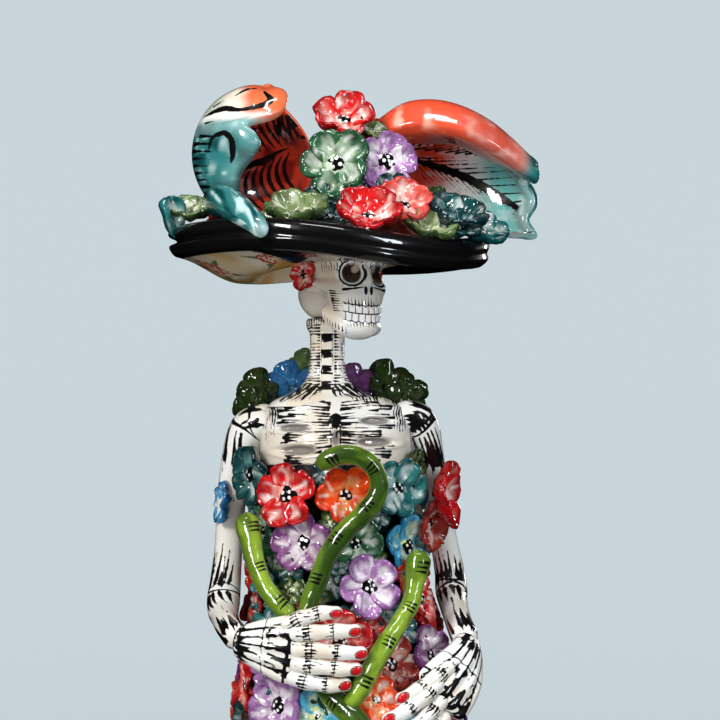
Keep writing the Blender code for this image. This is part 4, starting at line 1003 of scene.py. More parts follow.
def neck():
    """The square neck with its spine and collar, bored for the peg."""
    clay = Clay()
    line = curve_points(NECK_SECTIONS, 14)
    line = line[np.argsort(line[:, 0])]
    level = line[:, 0]
    angle = np.linspace(0, 2 * math.pi, 180, endpoint=False)
    c, s = np.cos(angle), np.sin(angle)
    square_x = np.sign(c) * np.abs(c) ** 0.7
    square_y = np.sign(s) * np.abs(s) ** 0.7
    lean = NECK_AXIS[1] * np.clip((level - 0.3350) / 0.008, 0, 1)
    x = NECK_AXIS[0] + line[:, 1:2] * square_x
    y = lean[:, None] + line[:, 2:3] * square_y
    z = level[:, None] + 0 * x
    u = (x - NECK_AXIS[0]) / MM
    across = np.where(s < 0, u, OFF_SPINE)
    block = 0.5 + 0.5 * np.cos((z / MM - 342.7) * 2 * math.pi / SPINE_PITCH)
    spine = smoothstep(2.6, 1.8, np.abs(across)) * smoothstep(0.3385, 0.3400, z)
    spine = spine * smoothstep(0.3615, 0.3600, z)
    push = 0.0008 * spine * (0.55 + 0.45 * block)
    grid = np.stack((x, y - push, z), -1)
    side_on = np.where(np.abs(s) > np.abs(c), u, (y - lean[:, None]) / MM)
    rows = neck_strokes(np.random.default_rng(510))
    ink = strokes(np.where(s < -0.7, u, side_on), z / MM, rows, wobble=0.08, seed=22)
    edges = 0.22 - np.abs(np.abs(across) - 2.5)
    ink = np.maximum(ink, np.where(spine > 0.2, edges, NO_INK))
    clay.add(grid, bone_colour(u, z / MM, 82), ink, caps=False)
    rim = grid[-1]
    hole = np.stack((NECK_AXIS[0] + BORE * c, NECK_AXIS[1] + BORE * s, 0 * c + level[-1]), -1)
    deep = hole - np.array((0, 0, level[-1] - BORE_FLOOR))
    clay.add(np.stack((rim, hole, deep)), BONE_WARM, caps=False)
    clay.build("neck_bones", GLAZE_BONE, "figure", "bone_glaze", "neck_column")


# ---------------------------------------------------------------- skull, on textbook proportions
HEAD_YAW = math.radians(32)
HEAD_TO_WORLD = Matrix.Translation((*NECK_AXIS, 0)) @ Matrix.Rotation(HEAD_YAW, 4, "Z")
HAT_TO_WORLD = Matrix.Translation((-0.0030, -0.0060, 0.3892)) @ Matrix.Rotation(math.radians(1.5), 4, "Y")
HAT_TO_WORLD = HAT_TO_WORLD @ Matrix.Rotation(math.radians(0.5), 4, "X")
SKULL_MIDDLE = np.array((0.0, -0.0110, 0.3745))
SOCKET_X, SOCKET_Y, SOCKET_Z = 0.0068, -0.0325, 0.3830
TEETH_MIDDLE, TOOTH_HEIGHT, TOOTH_WIDTH = 0.3668, 0.0033, 0.0027
SKULL_SEAT = 0.3672  # nothing of the skull over the neck is lower
# The painting's places, in millimetres round the face and of height: a socket's middle and its half sizes
SOCKET_ROUND, SOCKET_LEVEL, SOCKET_HALF_WIDTH, SOCKET_HALF_HEIGHT = 6.8, 383.0, 5.5, 5.0
FACE_RADIUS = 19.0  # millimetres, to measure round the face
SOCKET_DARK, SOCKET_GLEAM = (0.030, 0.016, 0.012), (0.62, 0.50, 0.36)


def ellipsoid(p, middle, radii):
    """About how far points are outside an ellipsoid."""
    q = p - np.array(middle)
    near = np.linalg.norm(q / np.array(radii), axis=-1)
    steep = np.linalg.norm(q / np.array(radii) ** 2, axis=-1)
    return near * (near - 1) / np.maximum(steep, 1e-6)


def capsule(p, a, b, radius):
    """How far points are outside a round-ended bar."""
    a, b = np.array(a), np.array(b)
    t = np.clip((p - a) @ (b - a) / ((b - a) @ (b - a)), 0, 1)
    return np.linalg.norm(p - a - t[..., None] * (b - a), axis=-1) - radius


def join(a, b, soft):
    """The union of two distances, rounded where they meet."""
    h = np.clip(0.5 + 0.5 * (b - a) / soft, 0, 1)
    return b + (a - b) * h - soft * h * (1 - h)


def carve(a, b, soft):
    """Distance a with the shape of distance b cut out of it, rounded at the edge."""
    return -join(-a, b, soft)


def skull_distance(p):
    """How far points are outside the skull, in the head's own frame with its face towards -Y."""
    mirrored = np.concatenate((np.abs(p[..., :1]), p[..., 1:]), -1)
    # The braincase, its base, the middle of the face, the upper jaw and the chin
    d = ellipsoid(p, (0, -0.0090, 0.3900), (0.0162, 0.0205, 0.0170))
    d = join(d, ellipsoid(p, (0, 0.0010, 0.3765), (0.0112, 0.0112, 0.0108)), 0.0040)
    d = join(d, ellipsoid(p, (0, -0.0205, 0.3760), (0.0118, 0.0108, 0.0110)), 0.0040)
    d = join(d, ellipsoid(p, (0, -0.0225, 0.3680), (0.0096, 0.0088, 0.0062)), 0.0030)
    d = join(d, ellipsoid(p, (0, -0.0232, 0.3622), (0.0082, 0.0082, 0.0050)), 0.0025)
    # The lower jaw's edge and its rising ends, the cheekbones, the brow and the bridge of the nose
    d = join(d, capsule(mirrored, (0.0075, -0.0235, 0.3620), (0.0124, -0.0110, 0.3705), 0.0026), 0.0024)
    d = join(d, capsule(mirrored, (0.0124, -0.0110, 0.3705), (0.0134, -0.0085, 0.3790), 0.0024), 0.0024)
    d = join(d, capsule(mirrored, (0.0085, -0.0262, 0.3775), (0.0146, -0.0130, 0.3790), 0.0020), 0.0022)
    d = join(d, capsule(mirrored, (0.0030, -0.0295, 0.3885), (0.0125, -0.0225, 0.3890), 0.0024), 0.0026)
    d = join(d, capsule(p, (0, -0.0300, 0.3835), (0, -0.0310, 0.3800), 0.0016), 0.0016)
    # The sockets, the nose slits, the hollows of the cheeks and the room over the neck
    d = carve(d, ellipsoid(mirrored, (SOCKET_X, SOCKET_Y, SOCKET_Z), (0.0050, 0.0062, 0.0046)), 0.0010)
    d = carve(d, capsule(mirrored, (0.0010, -0.0325, 0.3772), (0.0015, -0.0325, 0.3752), 0.0010), 0.0006)
    d = carve(d, ellipsoid(mirrored, (0.0170, -0.0190, 0.3715), (0.0050, 0.0070, 0.0042)), 0.0022)
    over_neck = np.maximum(np.hypot(p[..., 0], p[..., 1]) - 0.0112, p[..., 2] - SKULL_SEAT)
    return np.maximum(d, -over_neck)


def socket_ring(s, z, side):
    """How far out of the middle of a socket a point is, 1 at its rim. side is -1 or 1."""
    return np.hypot((s - side * SOCKET_ROUND) / SOCKET_HALF_WIDTH, (z - SOCKET_LEVEL) / SOCKET_HALF_HEIGHT)


def side_strokes(rng, side):
    """Brushwork round one socket and on the cheek, jaw and temple beside it."""
    rows = []
    cx, cz = side * SOCKET_ROUND, SOCKET_LEVEL
    for i in range(9):
        a = math.radians(10 + 17 * i)
        reach = 2.4 * (1.0 if i < 5 else 0.6)
        u, v = cx + side * 5.9 * math.cos(a), cz + 5.4 * math.sin(a)
        rows.append((u, v, u + side * reach * math.cos(a + 0.25), v + reach * math.sin(a + 0.25), 0.5, 0.03))
    for i in range(6):
        a = math.radians(-150 + 24 * i)
        u, v = cx + side * 5.6 * math.cos(a), cz + 5.1 * math.sin(a)
        rows.append((u, v, u + side * 1.8 * math.cos(a), v + 1.8 * math.sin(a), 0.35, 0.03))
    rows.append((cx - side * 4.8, cz - 5.6, cx + side * 3.6, cz - 6.6, 0.4, 1.1))
    for i in range(9):
        v = 368.6 + 0.95 * i
        rows.append((side * (15.5 + 0.2 * i), v, side * (11.5 - rng.uniform(0, 2.2)), v - 0.5,
                     rng.uniform(0.5, 1.1), 0.03))
    for i in range(8):
        u = side * (9 + 1.7 * i)
        rows.append((u, 359.5 + 0.8 * i, u + side * 0.3, 362.2 + 0.8 * i, rng.uniform(0.4, 0.9), 0.05))
    for i in range(7):
        u = side * (13 + 1.4 * i)
        rows.append((u, 386.8, u + side * 0.6, 382.0 + rng.uniform(-1, 1), rng.uniform(0.3, 0.8), 0.05))
    return rows


def skull_ink(rng, s, z):
    """The skull's brushwork, from the distance round the face and the height in millimetres."""
    rows = side_strokes(rng, -1) + side_strokes(rng, 1)
    top, low = 1000 * (TEETH_MIDDLE + TOOTH_HEIGHT), 1000 * (TEETH_MIDDLE - TOOTH_HEIGHT)
    for i in range(15):
        u = -9.4 + 1.34 * i
        rows.append((u, top + 0.5, u * 1.05, top + 2.0 + rng.uniform(0, 2.2), rng.uniform(0.45, 0.7), 0.04))
        rows.append((u * 0.9, low - 0.5, u * 0.85, low - 1.6 - rng.uniform(0, 1.2),
                     rng.uniform(0.4, 0.6), 0.04))
    for i in range(22):
        u = -26 + 2.5 * i
        rows.append((u, 388.4, u, 386.6 + rng.uniform(-0.5, 0.5), 0.5, 0.05))
    ink = strokes(s, z, rows, wobble=0.08, seed=23)
    for side in (-1, 1):
        ink = np.maximum(ink, 0.42 - np.abs(socket_ring(s, z, side) - 1.0) * 5.2)
        slit = np.hypot((s - side * 1.25) / 0.75, (z - 376.1) / 1.75)
        ink = np.maximum(ink, (1 - slit) * 0.9)
    return ink


def teeth_ink(s, z):
    """Lines between the teeth: above, between and below the two rows, and between neighbours."""
    lift = 0.012 * s**2
    level = z - 1000 * TEETH_MIDDLE - lift
    height = 1000 * TOOTH_HEIGHT
    within = 10.6 - np.abs(s)
    lines = np.maximum(0.24 - np.abs(level), 0.26 - np.abs(np.abs(level) - height - 0.25 * np.cos(s * 2.33)))
    ink = np.minimum(lines, within)
    gap = np.abs((s / (1000 * TOOTH_WIDTH) + 0.5 * (level < 0)) % 1 - 0.5) * 1000 * TOOTH_WIDTH
    between = np.minimum(0.17 - (1000 * TOOTH_WIDTH / 2 - gap), height - np.abs(level))
    return np.maximum(ink, np.minimum(between, within)), level, within


def skull_rays(rows, columns):
    """Directions from the skull's middle, closer together towards the face."""
    t = np.linspace(-math.pi, math.pi, columns, endpoint=False)
    round_face = (t - 0.5 * np.sin(t))[None]
    tilt = np.linspace(-math.pi / 2, math.pi / 2, rows)[:, None] * 0.997
    return np.stack((np.cos(tilt) * np.sin(round_face), -np.cos(tilt) * np.cos(round_face),
                     np.sin(tilt) + 0 * round_face), -1)


def skull_reach(ray):
    """How far the skull's surface is along each ray, cut flat under the hat's seat."""
    reach = np.full(ray.shape[:2], 0.0030)
    for _ in range(70):
        reach = np.clip(reach - 0.6 * skull_distance(SKULL_MIDDLE + ray * reach[..., None]), 0.0015, 0.04)
    to_head = np.array(HEAD_TO_WORLD.inverted() @ HAT_TO_WORLD)
    normal = to_head[:3, 2]
    seat_point = to_head[:3, 3] - normal * 3 * GAP
    rise = ray @ normal
    limit = np.where(rise > 1e-4, ((seat_point - SKULL_MIDDLE) @ normal) / np.maximum(rise, 1e-4), 1.0)
    return np.minimum(reach, limit)


def skull_colour(s, z, tooth):
    """Bone, warmer round the sides, with dark sockets in white rings and white teeth."""
    colour = bone_colour(s, z, 83)
    colour = mix(colour, BONE_WARM, 0.45 * smoothstep(9, 17, np.abs(s)))
    for side in (-1, 1):
        away = socket_ring(s, z, side)
        colour = mix(colour, WHITE, smoothstep(1.5, 1.1, away))
        gleam = np.hypot((s - side * 5.0) / 2.2, (z - 384.6) / 1.9)
        hollow = mix(SOCKET_DARK, SOCKET_GLEAM, 0.8 * smoothstep(1.0, 0.5, gleam))
        colour = mix(colour, hollow, smoothstep(0.86, 0.72, away))
    return np.where(tooth[..., None], WHITE, colour)


def skull():
    """The skull, modelled from its middle outwards and painted."""
    clay = Clay()
    rng = np.random.default_rng(520)
    ray = skull_rays(250, 420)
    point = SKULL_MIDDLE + ray * skull_reach(ray)[..., None]
    x, y, z = point[..., 0], point[..., 1], point[..., 2] / MM
    s = np.arctan2(x, -(y + 0.0120)) * FACE_RADIUS
    marks, level, within = teeth_ink(s, z)
    front = (np.abs(s) < 30) & (y < -0.006)
    swell = np.clip(marks, -0.6, 0) / 0.6
    tooth = (np.abs(level) < 1000 * TOOTH_HEIGHT) & (within > 0) & front
    relief = np.where(tooth, 0.0004 * np.sqrt(np.clip(-swell, 0, 1)), 0.0)
    point = point + ray * relief[..., None]
    ink = np.maximum(skull_ink(rng, s, z), marks)
    ink = np.where(tooth, marks, ink)
    in_socket = np.minimum(socket_ring(s, z, -1), socket_ring(s, z, 1)) < 0.88
    ink = np.where(in_socket | ~front, NO_INK, ink)
    back = strokes(s, z, hatch(rng, 40, (-58, 58), 388, -9, 0.9), wobble=0.1, seed=24)
    ink = np.where(front, ink, back)
    clay.add(point, skull_colour(s, z, tooth), ink)
    clay.move(HEAD_TO_WORLD)
    clay.build("painted_skull", GLAZE_BONE, "head", "bone_glaze", "skull")


def ear_flowers():
    """The red flower at each ear."""
    for side, label in ((-1, "right"), (1, "left")):
        clay = Clay()
        turn = Matrix.Rotation(HEAD_YAW, 3, "Z")
        facing = turn @ Vector((side, -0.45, 0))
        place = turn @ Vector((side * 0.0152, -0.0090, 0.3830)) + Vector((*NECK_AXIS, 0))
        add_flower(clay, place, facing, 0.0067, "red", 0.5, 71 + side, detail=0.9, heart=0.34)
        clay.build("ear_bloom_" + label, GLAZE_PETAL, "head", "red_glaze", "ear_flower_" + label)


# ---------------------------------------------------------------- flowers of the shoulders and arms
# Flowers across the shoulders: X, Y, Z, radius, pigment
SHAWL = (
    (-0.0330, 0.0125, 0.3315, 0.0082, "olive"), (-0.0290, 0.0165, 0.3370, 0.0105, "olive"),
    (-0.0180, 0.0205, 0.3392, 0.0112, "blue"), (-0.0125, 0.0225, 0.3475, 0.0078, "cream"),
    (0.0068, 0.0225, 0.3390, 0.0110, "purple"), (0.0195, 0.0205, 0.3395, 0.0115, "olive"),
    (0.0272, 0.0170, 0.3360, 0.0098, "olive"),
)


def shawl():
    """The flowers across the top of the back, whose petals show over the shoulders."""
    clay = Clay()
    for i, (x, y, z, radius, pigment) in enumerate(SHAWL):
        add_flower(clay, (x, y, z), (x * 14, 1, 0.25), radius, pigment, 1.3 * i, 600 + i)
    clay.build("shawl_blooms", GLAZE_PETAL, "figure", "green_glaze", "garland_shawl")


def arm_flowers():
    """Two flowers on the outside of the left arm and one on the right."""
    clay = Clay()
    add_flower(clay, (0.0385, -0.0040, 0.2955), (0.96, -0.26, 0.06), 0.0142, "red", 0.3, 620, cup=0.28)
    add_flower(clay, (0.0345, -0.0070, 0.2850), (0.88, -0.46, -0.12), 0.0112, "rust", 0.9, 622, cup=0.20)
    clay.build("left_arm_bloom", GLAZE_PETAL, "figure", "red_glaze", "flower_left_arm")
    clay = Clay()
    add_flower(clay, (-0.0425, 0.0000, 0.2925), (-0.96, -0.20, 0.1), 0.0090, "blue", 0.3, 621)
    clay.build("right_arm_bloom", GLAZE_PETAL, "figure", "blue_glaze", "flower_right_arm")


# Loose petals and buds between the flowers: X, height, radius, pigment, petals, lift
FILLERS = (
    (-0.0330, 0.2740, 0.0080, "olive", 4, 0.0030), (0.0335, 0.3020, 0.0085, "olive", 3, 0.0010),
    (-0.0150, 0.2665, 0.0058, "dark_teal", 3, 0.0020), (-0.0225, 0.2560, 0.0065, "green", 4, 0.0),
    (-0.0010, 0.2600, 0.0055, "teal", 4, 0.0), (0.0232, 0.2635, 0.0075, "orange", 4, 0.0030),
    (-0.0330, 0.2560, 0.0070, "teal", 4, 0.0), (0.0330, 0.2430, 0.0085, "red", 5, 0.0),
    (0.0250, 0.2420, 0.0070, "dark_teal", 4, 0.0), (-0.0100, 0.2480, 0.0075, "rust", 4, 0.0),
    (-0.0330, 0.2370, 0.0075, "rust", 4, 0.0), (0.0290, 0.2190, 0.0085, "red", 5, 0.0),
    (0.0020, 0.2180, 0.0090, "green", 5, 0.0), (-0.0230, 0.2280, 0.0085, "lilac", 5, 0.0015),
    (-0.0060, 0.2220, 0.0075, "olive", 4, 0.0), (0.0130, 0.2430, 0.0070, "red", 4, 0.0),
    (-0.0020, 0.2850, 0.0050, "olive", 4, 0.0), (0.0155, 0.2870, 0.0055, "dark_teal", 4, 0.0),
    (0.0140, 0.2160, 0.0095, "orange", 5, 0.0060), (-0.0055, 0.2110, 0.0105, "sky", 5, 0.0010),
    (-0.0215, 0.2700, 0.0065, "green", 4, 0.0), (-0.0060, 0.2560, 0.0060, "olive", 4, 0.0),
    (0.0060, 0.2480, 0.0065, "dark_teal", 4, 0.0), (-0.0240, 0.2240, 0.0070, "teal", 4, 0.0020),
    (0.0190, 0.2500, 0.0070, "teal", 4, 0.0), (-0.0145, 0.2585, 0.0068, "olive", 4, 0.0020),
    (0.0025, 0.2660, 0.0060, "dark_teal", 4, 0.0020), (-0.0030, 0.3045, 0.0065, "dark_teal", 4, 0.0),
    (-0.0240, 0.2620, 0.0065, "teal", 4, 0.0010), (0.0150, 0.2700, 0.0055, "olive", 4, 0.0),
    (0.0340, 0.2080, 0.0100, "rust", 5, 0.0), (0.0400, 0.2110, 0.0095, "red", 5, 0.0),
    (0.0300, 0.2000, 0.0090, "teal", 5, 0.0), (-0.0375, 0.2060, 0.0090, "dark_teal", 5, 0.0),
    (-0.0300, 0.2060, 0.0085, "orange", 5, 0.0),
    (0.0304, 0.3075, 0.0080, "olive", 5, 0.0), (0.0299, 0.2930, 0.0080, "green", 5, 0.0),
    (0.0294, 0.2790, 0.0078, "rust", 5, 0.0), (0.0294, 0.2640, 0.0080, "teal", 5, 0.0),
    (0.0312, 0.2500, 0.0085, "orange", 5, 0.0), (0.0345, 0.2350, 0.0090, "teal", 5, 0.0),
    (0.0372, 0.2230, 0.0092, "lilac", 5, 0.0), (-0.0304, 0.3075, 0.0080, "dark_teal", 5, 0.0),
    (-0.0299, 0.2930, 0.0080, "blue", 5, 0.0), (-0.0294, 0.2790, 0.0078, "green", 5, 0.0),
    (-0.0300, 0.2500, 0.0080, "rust", 5, 0.0), (-0.0325, 0.2350, 0.0090, "red", 5, 0.0),
    (-0.0365, 0.2200, 0.0092, "salmon", 5, 0.0),
)


def fillers():
    """Small petals and buds that fill the gaps between the larger flowers."""
    clay = Clay()
    for i, (x, height, radius, pigment, petals, lift) in enumerate(FILLERS):
        place, facing = seat(front_angle(x, height), height, radius, lift)
        add_flower(clay, place, facing, radius, pigment, 0.9 * i, 640 + i, petals, 0.14, detail=0.7)
    clay.build("filler_blooms", GLAZE_PETAL, "figure", "green_glaze")


# ---------------------------------------------------------------- hat, in its own frame
# From the crown along the underside, round the edge and back to the crown: radius and height
BRIM_OUTLINE = (
    (0.0205, 0.0000), (0.0270, -0.0001), (0.0320, -0.0003), (0.0400, -0.0004), (0.0480, -0.0006),
    (0.0545, -0.0009), (0.0600, -0.0006), (0.0625, 0.0012), (0.0637, 0.0034), (0.0632, 0.0054),
    (0.0638, 0.0078), (0.0632, 0.0101), (0.0608, 0.0116), (0.0580, 0.0112), (0.0550, 0.0098),
    (0.0500, 0.0090), (0.0420, 0.0112), (0.0320, 0.0165), (0.0215, 0.0215),
)
GROOVE = 0.0026  # depth of the groove between the rolls of the edge, on the figure's right
BULGE, BULGE_TOWARDS = 0.0095, math.radians(165)  # how far the underside swells down, and where most
BRIM_RADIUS = 0.0640
BRIM_DIP, BRIM_DIP_DEPTH, BRIM_WAVE, BRIM_WAVES = math.radians(-50), 0.0035, 0.0020, 3
UNDERSIDE_ROWS = 6 * 7  # the outline's first rows, which make the brim's underside
BRIM_CREAM, BRIM_OCHRE, LEAF_GREEN = (0.74, 0.60, 0.38), (0.66, 0.36, 0.09), (0.10, 0.16, 0.05)


def rose(cx, cy, size):
    """A line drawing of a rose: nested arcs that close on its middle, as strokes."""
    rows = []
    for ring in range(4):
        radius = size * (1 - 0.24 * ring)
        turns = np.radians(np.linspace(20 + 60 * ring, 330 + 60 * ring, 9))
        u, v = cx + radius * np.cos(turns), cy + 0.75 * radius * np.sin(turns)
        rows += [(u[i], v[i], u[i + 1], v[i + 1], 0.9, 0.9) for i in range(8)]
    return rows


def leaves(cx, cy, size, count, start):
    """Pointed leaves round a rose, as wide strokes that taper."""
    rows = []
    for i in range(count):
        a = start + 2 * math.pi * i / count
        u, v = cx + size * 1.25 * math.cos(a), cy + size * 1.1 * math.sin(a)
        rows.append((u, v, u + size * math.cos(a), v + size * math.sin(a), 3.2, 0.1))
    return rows


def brim_form(angle):
    """The brim's points, and which of them carry the cream painting below."""
    outline = curve_points(BRIM_OUTLINE, 7)
    radius, height = outline[:, 0:1], outline[:, 1:2]
    turn = angle - BRIM_DIP
    wave = BRIM_DIP_DEPTH * np.cos(turn) + BRIM_WAVE * np.cos(BRIM_WAVES * turn)
    spots = (np.cos(angle) * 3 + 0 * radius, np.sin(angle) * 3 + 0 * radius,
             200 * (radius + height) + 0 * angle)
    lumps = noise(np.stack(spots, -1), 0.8, 31)
    edge = smoothstep(0.045, 0.060, radius)
    rolled = np.exp(-(((height - 0.0056) / 0.0011) ** 2)) * edge * smoothstep(0.2, -0.7, np.cos(angle + 0.5))
    radial = radius + 0.0006 * lumps * edge - GROOVE * rolled
    level = height - wave * (radius / BRIM_RADIUS) ** 3
    below = np.arange(len(outline))[:, None] < UNDERSIDE_ROWS
    swell = smoothstep(0.0250, 0.0310, radius) * smoothstep(0.0605, 0.0360, radius)
    level = level - BULGE * below * swell * (0.5 + 0.5 * np.cos(angle - BULGE_TOWARDS)) ** 1.5
    grid = np.stack((radial * np.cos(angle), radial * np.sin(angle), level), -1)
    painted = below * (radius < 0.0585 - 0.030 * smoothstep(-0.35, 0.05, np.cos(angle + 0.2)))
    return grid, painted


def brim():
    """The brim with its double rolled edge, black above and painted with roses on cream below."""
    clay = Clay()
    grid, painted = brim_form(np.linspace(0, 2 * math.pi, 288, endpoint=False)[None])
    u, v = grid[..., 0] / MM, grid[..., 1] / MM
    patch = noise(np.stack((u, v), -1), 11.0, 32)
    cream = mix(BRIM_CREAM, BRIM_OCHRE, smoothstep(0.0, 0.5, patch))
    cream = mix(cream, BONE, 0.6 * smoothstep(0.1, 0.8, -patch))
    green, red = [], []
    for i in range(8):
        a = 2 * math.pi * i / 8 + 0.35
        cx, cy = 47 * math.cos(a), 47 * math.sin(a)
        red += rose(cx, cy, 7.5)
        green += leaves(cx, cy, 6.5, 5, a)
    cream = mix(cream, LEAF_GREEN, smoothstep(-0.15, 0.2, strokes(u, v, green)))
    colour = np.where(painted[..., None] > 0, cream, BLACK)
    ink = np.where(painted > 0, strokes(u, v, red, wobble=0.1, seed=33), NO_INK)
    clay.add(grid, colour, ink)
    clay.move(HAT_TO_WORLD)
    clay.build("painted_brim", GLAZE_HAT, "hat", "black_glaze", "hat_brim")


def shell_grid(point, thickness, rows, columns, lip=7):
    """A thick curled sheet with rounded edges. point(across, up) gives its middle. Returns the grid and, at
    each of its points, the share across, the share up, the side (1 outside, -1 inside) and the middle."""
    up = np.linspace(0, 1, rows)
    across = np.concatenate((np.linspace(0, 1, columns), np.full(lip, 1.0), np.linspace(1, 0, columns),
                             np.full(lip, 0.0)))
    turn = np.concatenate((np.full(columns, 90.0), np.linspace(90, -90, lip + 2)[1:-1],
                           np.full(columns, -90.0), np.linspace(-90, -270, lip + 2)[1:-1]))
    turn = np.radians(turn)[None]
    a, b = np.meshgrid(across, up)
    step = 1e-3
    middle = point(a, b)
    da = unit(point(np.clip(a + step, 0, 1), b) - point(np.clip(a - step, 0, 1), b))
    db = unit(point(a, np.clip(b + step, 0, 1)) - point(a, np.clip(b - step, 0, 1)))
    normal = unit(np.cross(da, db))
    half = thickness(a, b) / 2
    ends = np.sqrt(np.clip(1 - (1 - np.minimum(np.minimum(b, 1 - b) / 0.03, 1)) ** 2, 0.01, 1))
    half = (half * ends)[..., None]
    grid = middle + half * (normal * np.sin(turn)[..., None] + da * np.cos(turn)[..., None])
    return grid, a, b, np.sin(turn) * np.ones_like(a), middle


RIGHT_RISE_LOW, RIGHT_RISE_SPAN = -68, 148  # degrees above the plume's middle, from its foot to its top
RIGHT_OUTSIDE = -0.35  # the side above which the right plume shows its outer paint
RIGHT_PLUME_CENTRE = np.array((-0.0290, 0.0020, 0.0422))
RIGHT_PLUME_RADII = np.array((0.0255, 0.0260, 0.0266))
# The free edge: angle of rise above the plume's middle, and angle round it
RIGHT_PLUME_EDGE = np.array((
    (-68, 236), (-45, 243), (-24, 250), (-10, 261), (2, 268), (11, 264), (18, 257), (25, 274), (33, 290),
    (45, 299), (60, 305), (80, 300),
), float)


def right_plume_point(across, up):
    """The plume curled into a shell on the hat's right, open towards the front and the crown."""
    rise = RIGHT_RISE_LOW + RIGHT_RISE_SPAN * up
    edge, = along_table(RIGHT_PLUME_EDGE, rise)
    start = 30 + 60 * up**3
    turn = np.radians(start + (edge - start) * across)
    rise = np.radians(rise)
    ruffle = 1 + 0.035 * np.sin(9 * rise) * smoothstep(0.75, 1.0, across)
    out = np.stack((np.cos(rise) * np.cos(turn), np.cos(rise) * np.sin(turn), np.sin(rise)), -1)
    return RIGHT_PLUME_CENTRE + RIGHT_PLUME_RADII * ruffle[..., None] * out


def barbs(line, count, reach, rise, width, bend=0.0):
    """Strokes that leave a plume's rib one after another. line gives the rib's X and Z at a share of its
    length."""
    rows = []
    for i in range(count):
        u, v = line((i + 0.5) / count)
        last = (u, v)
        for step in (1, 2, 3):
            share = step / 3
            here = (u + reach * share + bend * share * (1 - share), v + rise * share)
            rows.append((*last, *here, width * (1.35 - 0.95 * share), width * (1.0 - 0.9 * share)))
            last = here
    return rows


def polyline(points):
    """Strokes along a smooth curve through points that each give a place and a width."""
    points = np.maximum(curve_points(points, 6), (-1e3, -1e3, 0.03))
    return [(a[0], a[1], b[0], b[1], a[2], b[2]) for a, b in zip(points, points[1:])]


TEAL_WASH, TEAL_DEEP = np.array((0.035, 0.215, 0.215)), np.array((0.004, 0.065, 0.070))
TEAL_PALE = np.array((0.60, 0.80, 0.77))
PLUME_RED, PLUME_DEEP = np.array((0.78, 0.060, 0.022)), np.array((0.24, 0.008, 0.010))
PLUME_PALE = np.array((0.80, 0.42, 0.36))


def teal_paint(points, pale, seed):
    """Brushed teal with pools and thin pale places, whiter where pale is high."""
    cloud = noise(points, 0.006, seed)
    streak = noise(points * np.array((1, 1, 1.7)), 0.004, seed + 1)
    colour = mix(TEAL_WASH, TEAL_DEEP, smoothstep(-0.15, 0.6, cloud))
    return mix(colour, TEAL_PALE, np.clip(0.55 * smoothstep(0.15, 0.8, streak - 0.3 * cloud) + pale, 0, 1))


def right_plume_thickness(across, up):
    """A thin shell with a fat rounded lip."""
    return 0.0026 + 0.0026 * smoothstep(0.88, 0.98, across)


MARKS_RISE = 4.0  # millimetres by which the outer marks sit lower than drawn
PLUME_ROUND = 160  # the number that stands for the whole way across the plume in its rear marks
CREST_GREY, CREST_CREAM = (0.55, 0.60, 0.50), (0.86, 0.78, 0.62)
CREST_ORANGE, LIP_ORANGE = (0.86, 0.16, 0.06), (0.86, 0.20, 0.09)


def right_plume_colour(grid, across, side, rise, u, v):
    """Teal outside with a cream and orange crest, red inside that darkens towards the crown."""
    crest = smoothstep(19, 27, rise + 6 * smoothstep(0.8, 0.4, across))
    pale = 0.12 * smoothstep(0.90, 1.0, across) + 0.25 * np.exp(-((rise - 18) / 7) ** 2)
    cloud = noise(grid, 0.007, 43)
    crest_paint = mix(CREST_GREY, CREST_CREAM, smoothstep(-46, -38, u))
    crest_paint = mix(crest_paint, CREST_ORANGE, smoothstep(-38, -30, u + 3 * cloud))
    crest_paint = mix(crest_paint, WHITE, 0.8 * smoothstep(57, 54, v) * smoothstep(-20, -30, u))
    outside = mix(teal_paint(grid, pale, 41), crest_paint, crest)
    inside = mix(PLUME_PALE, PLUME_RED, smoothstep(-40, -30, u + 2 * cloud))
    inside = mix(inside, PLUME_DEEP, 0.85 * smoothstep(0.0, 0.5, noise(grid, 0.0045, 47)))
    inside = mix(inside, BLACK, smoothstep(0, 7, (u + 17) + 0.55 * (v - 56) + 3 * cloud) * 0.9)
    colour = np.where((side > RIGHT_OUTSIDE)[..., None], outside, inside)
    lip = smoothstep(0.86, 1.0, across) * crest * (np.abs(side) < 0.98)
    return mix(colour, LIP_ORANGE, 0.85 * lip)


def right_plume_front():
    """Marks on the plume's front, by X and height: a curl, a fan of barbs below it and the crest's lines."""
    rows = polyline(((-47, 46, 0.5), (-45.5, 50, 1.4), (-41.5, 51.4, 1.8), (-38.3, 49, 2.3), (-37.6, 44, 2.4),
                     (-38.0, 39.4, 0.4)))
    for i in range(9):
        level = 51 - 2.6 * i
        start = -55.5 + 0.055 * (level - 41) ** 2 * 0.9
        rows.append((start, level, start + 10 - 0.25 * i, level - 1.2, 1.5, 0.05))
    rows += polyline(((-50, 58.8, 0.4), (-42, 61.3, 2.4), (-35, 60.7, 1.5), (-25, 63.8, 2.5),
                      (-26.8, 68.0, 0.9)))
    rows += polyline(((-38, 66.6, 0.2), (-34, 69.2, 0.9), (-30, 70.0, 0.2)))
    return rows + [(-46, 62.6, -42, 65.0, 0.8, 0.05), (-49, 56.0, -42, 56.8, 0.9, 0.05)]


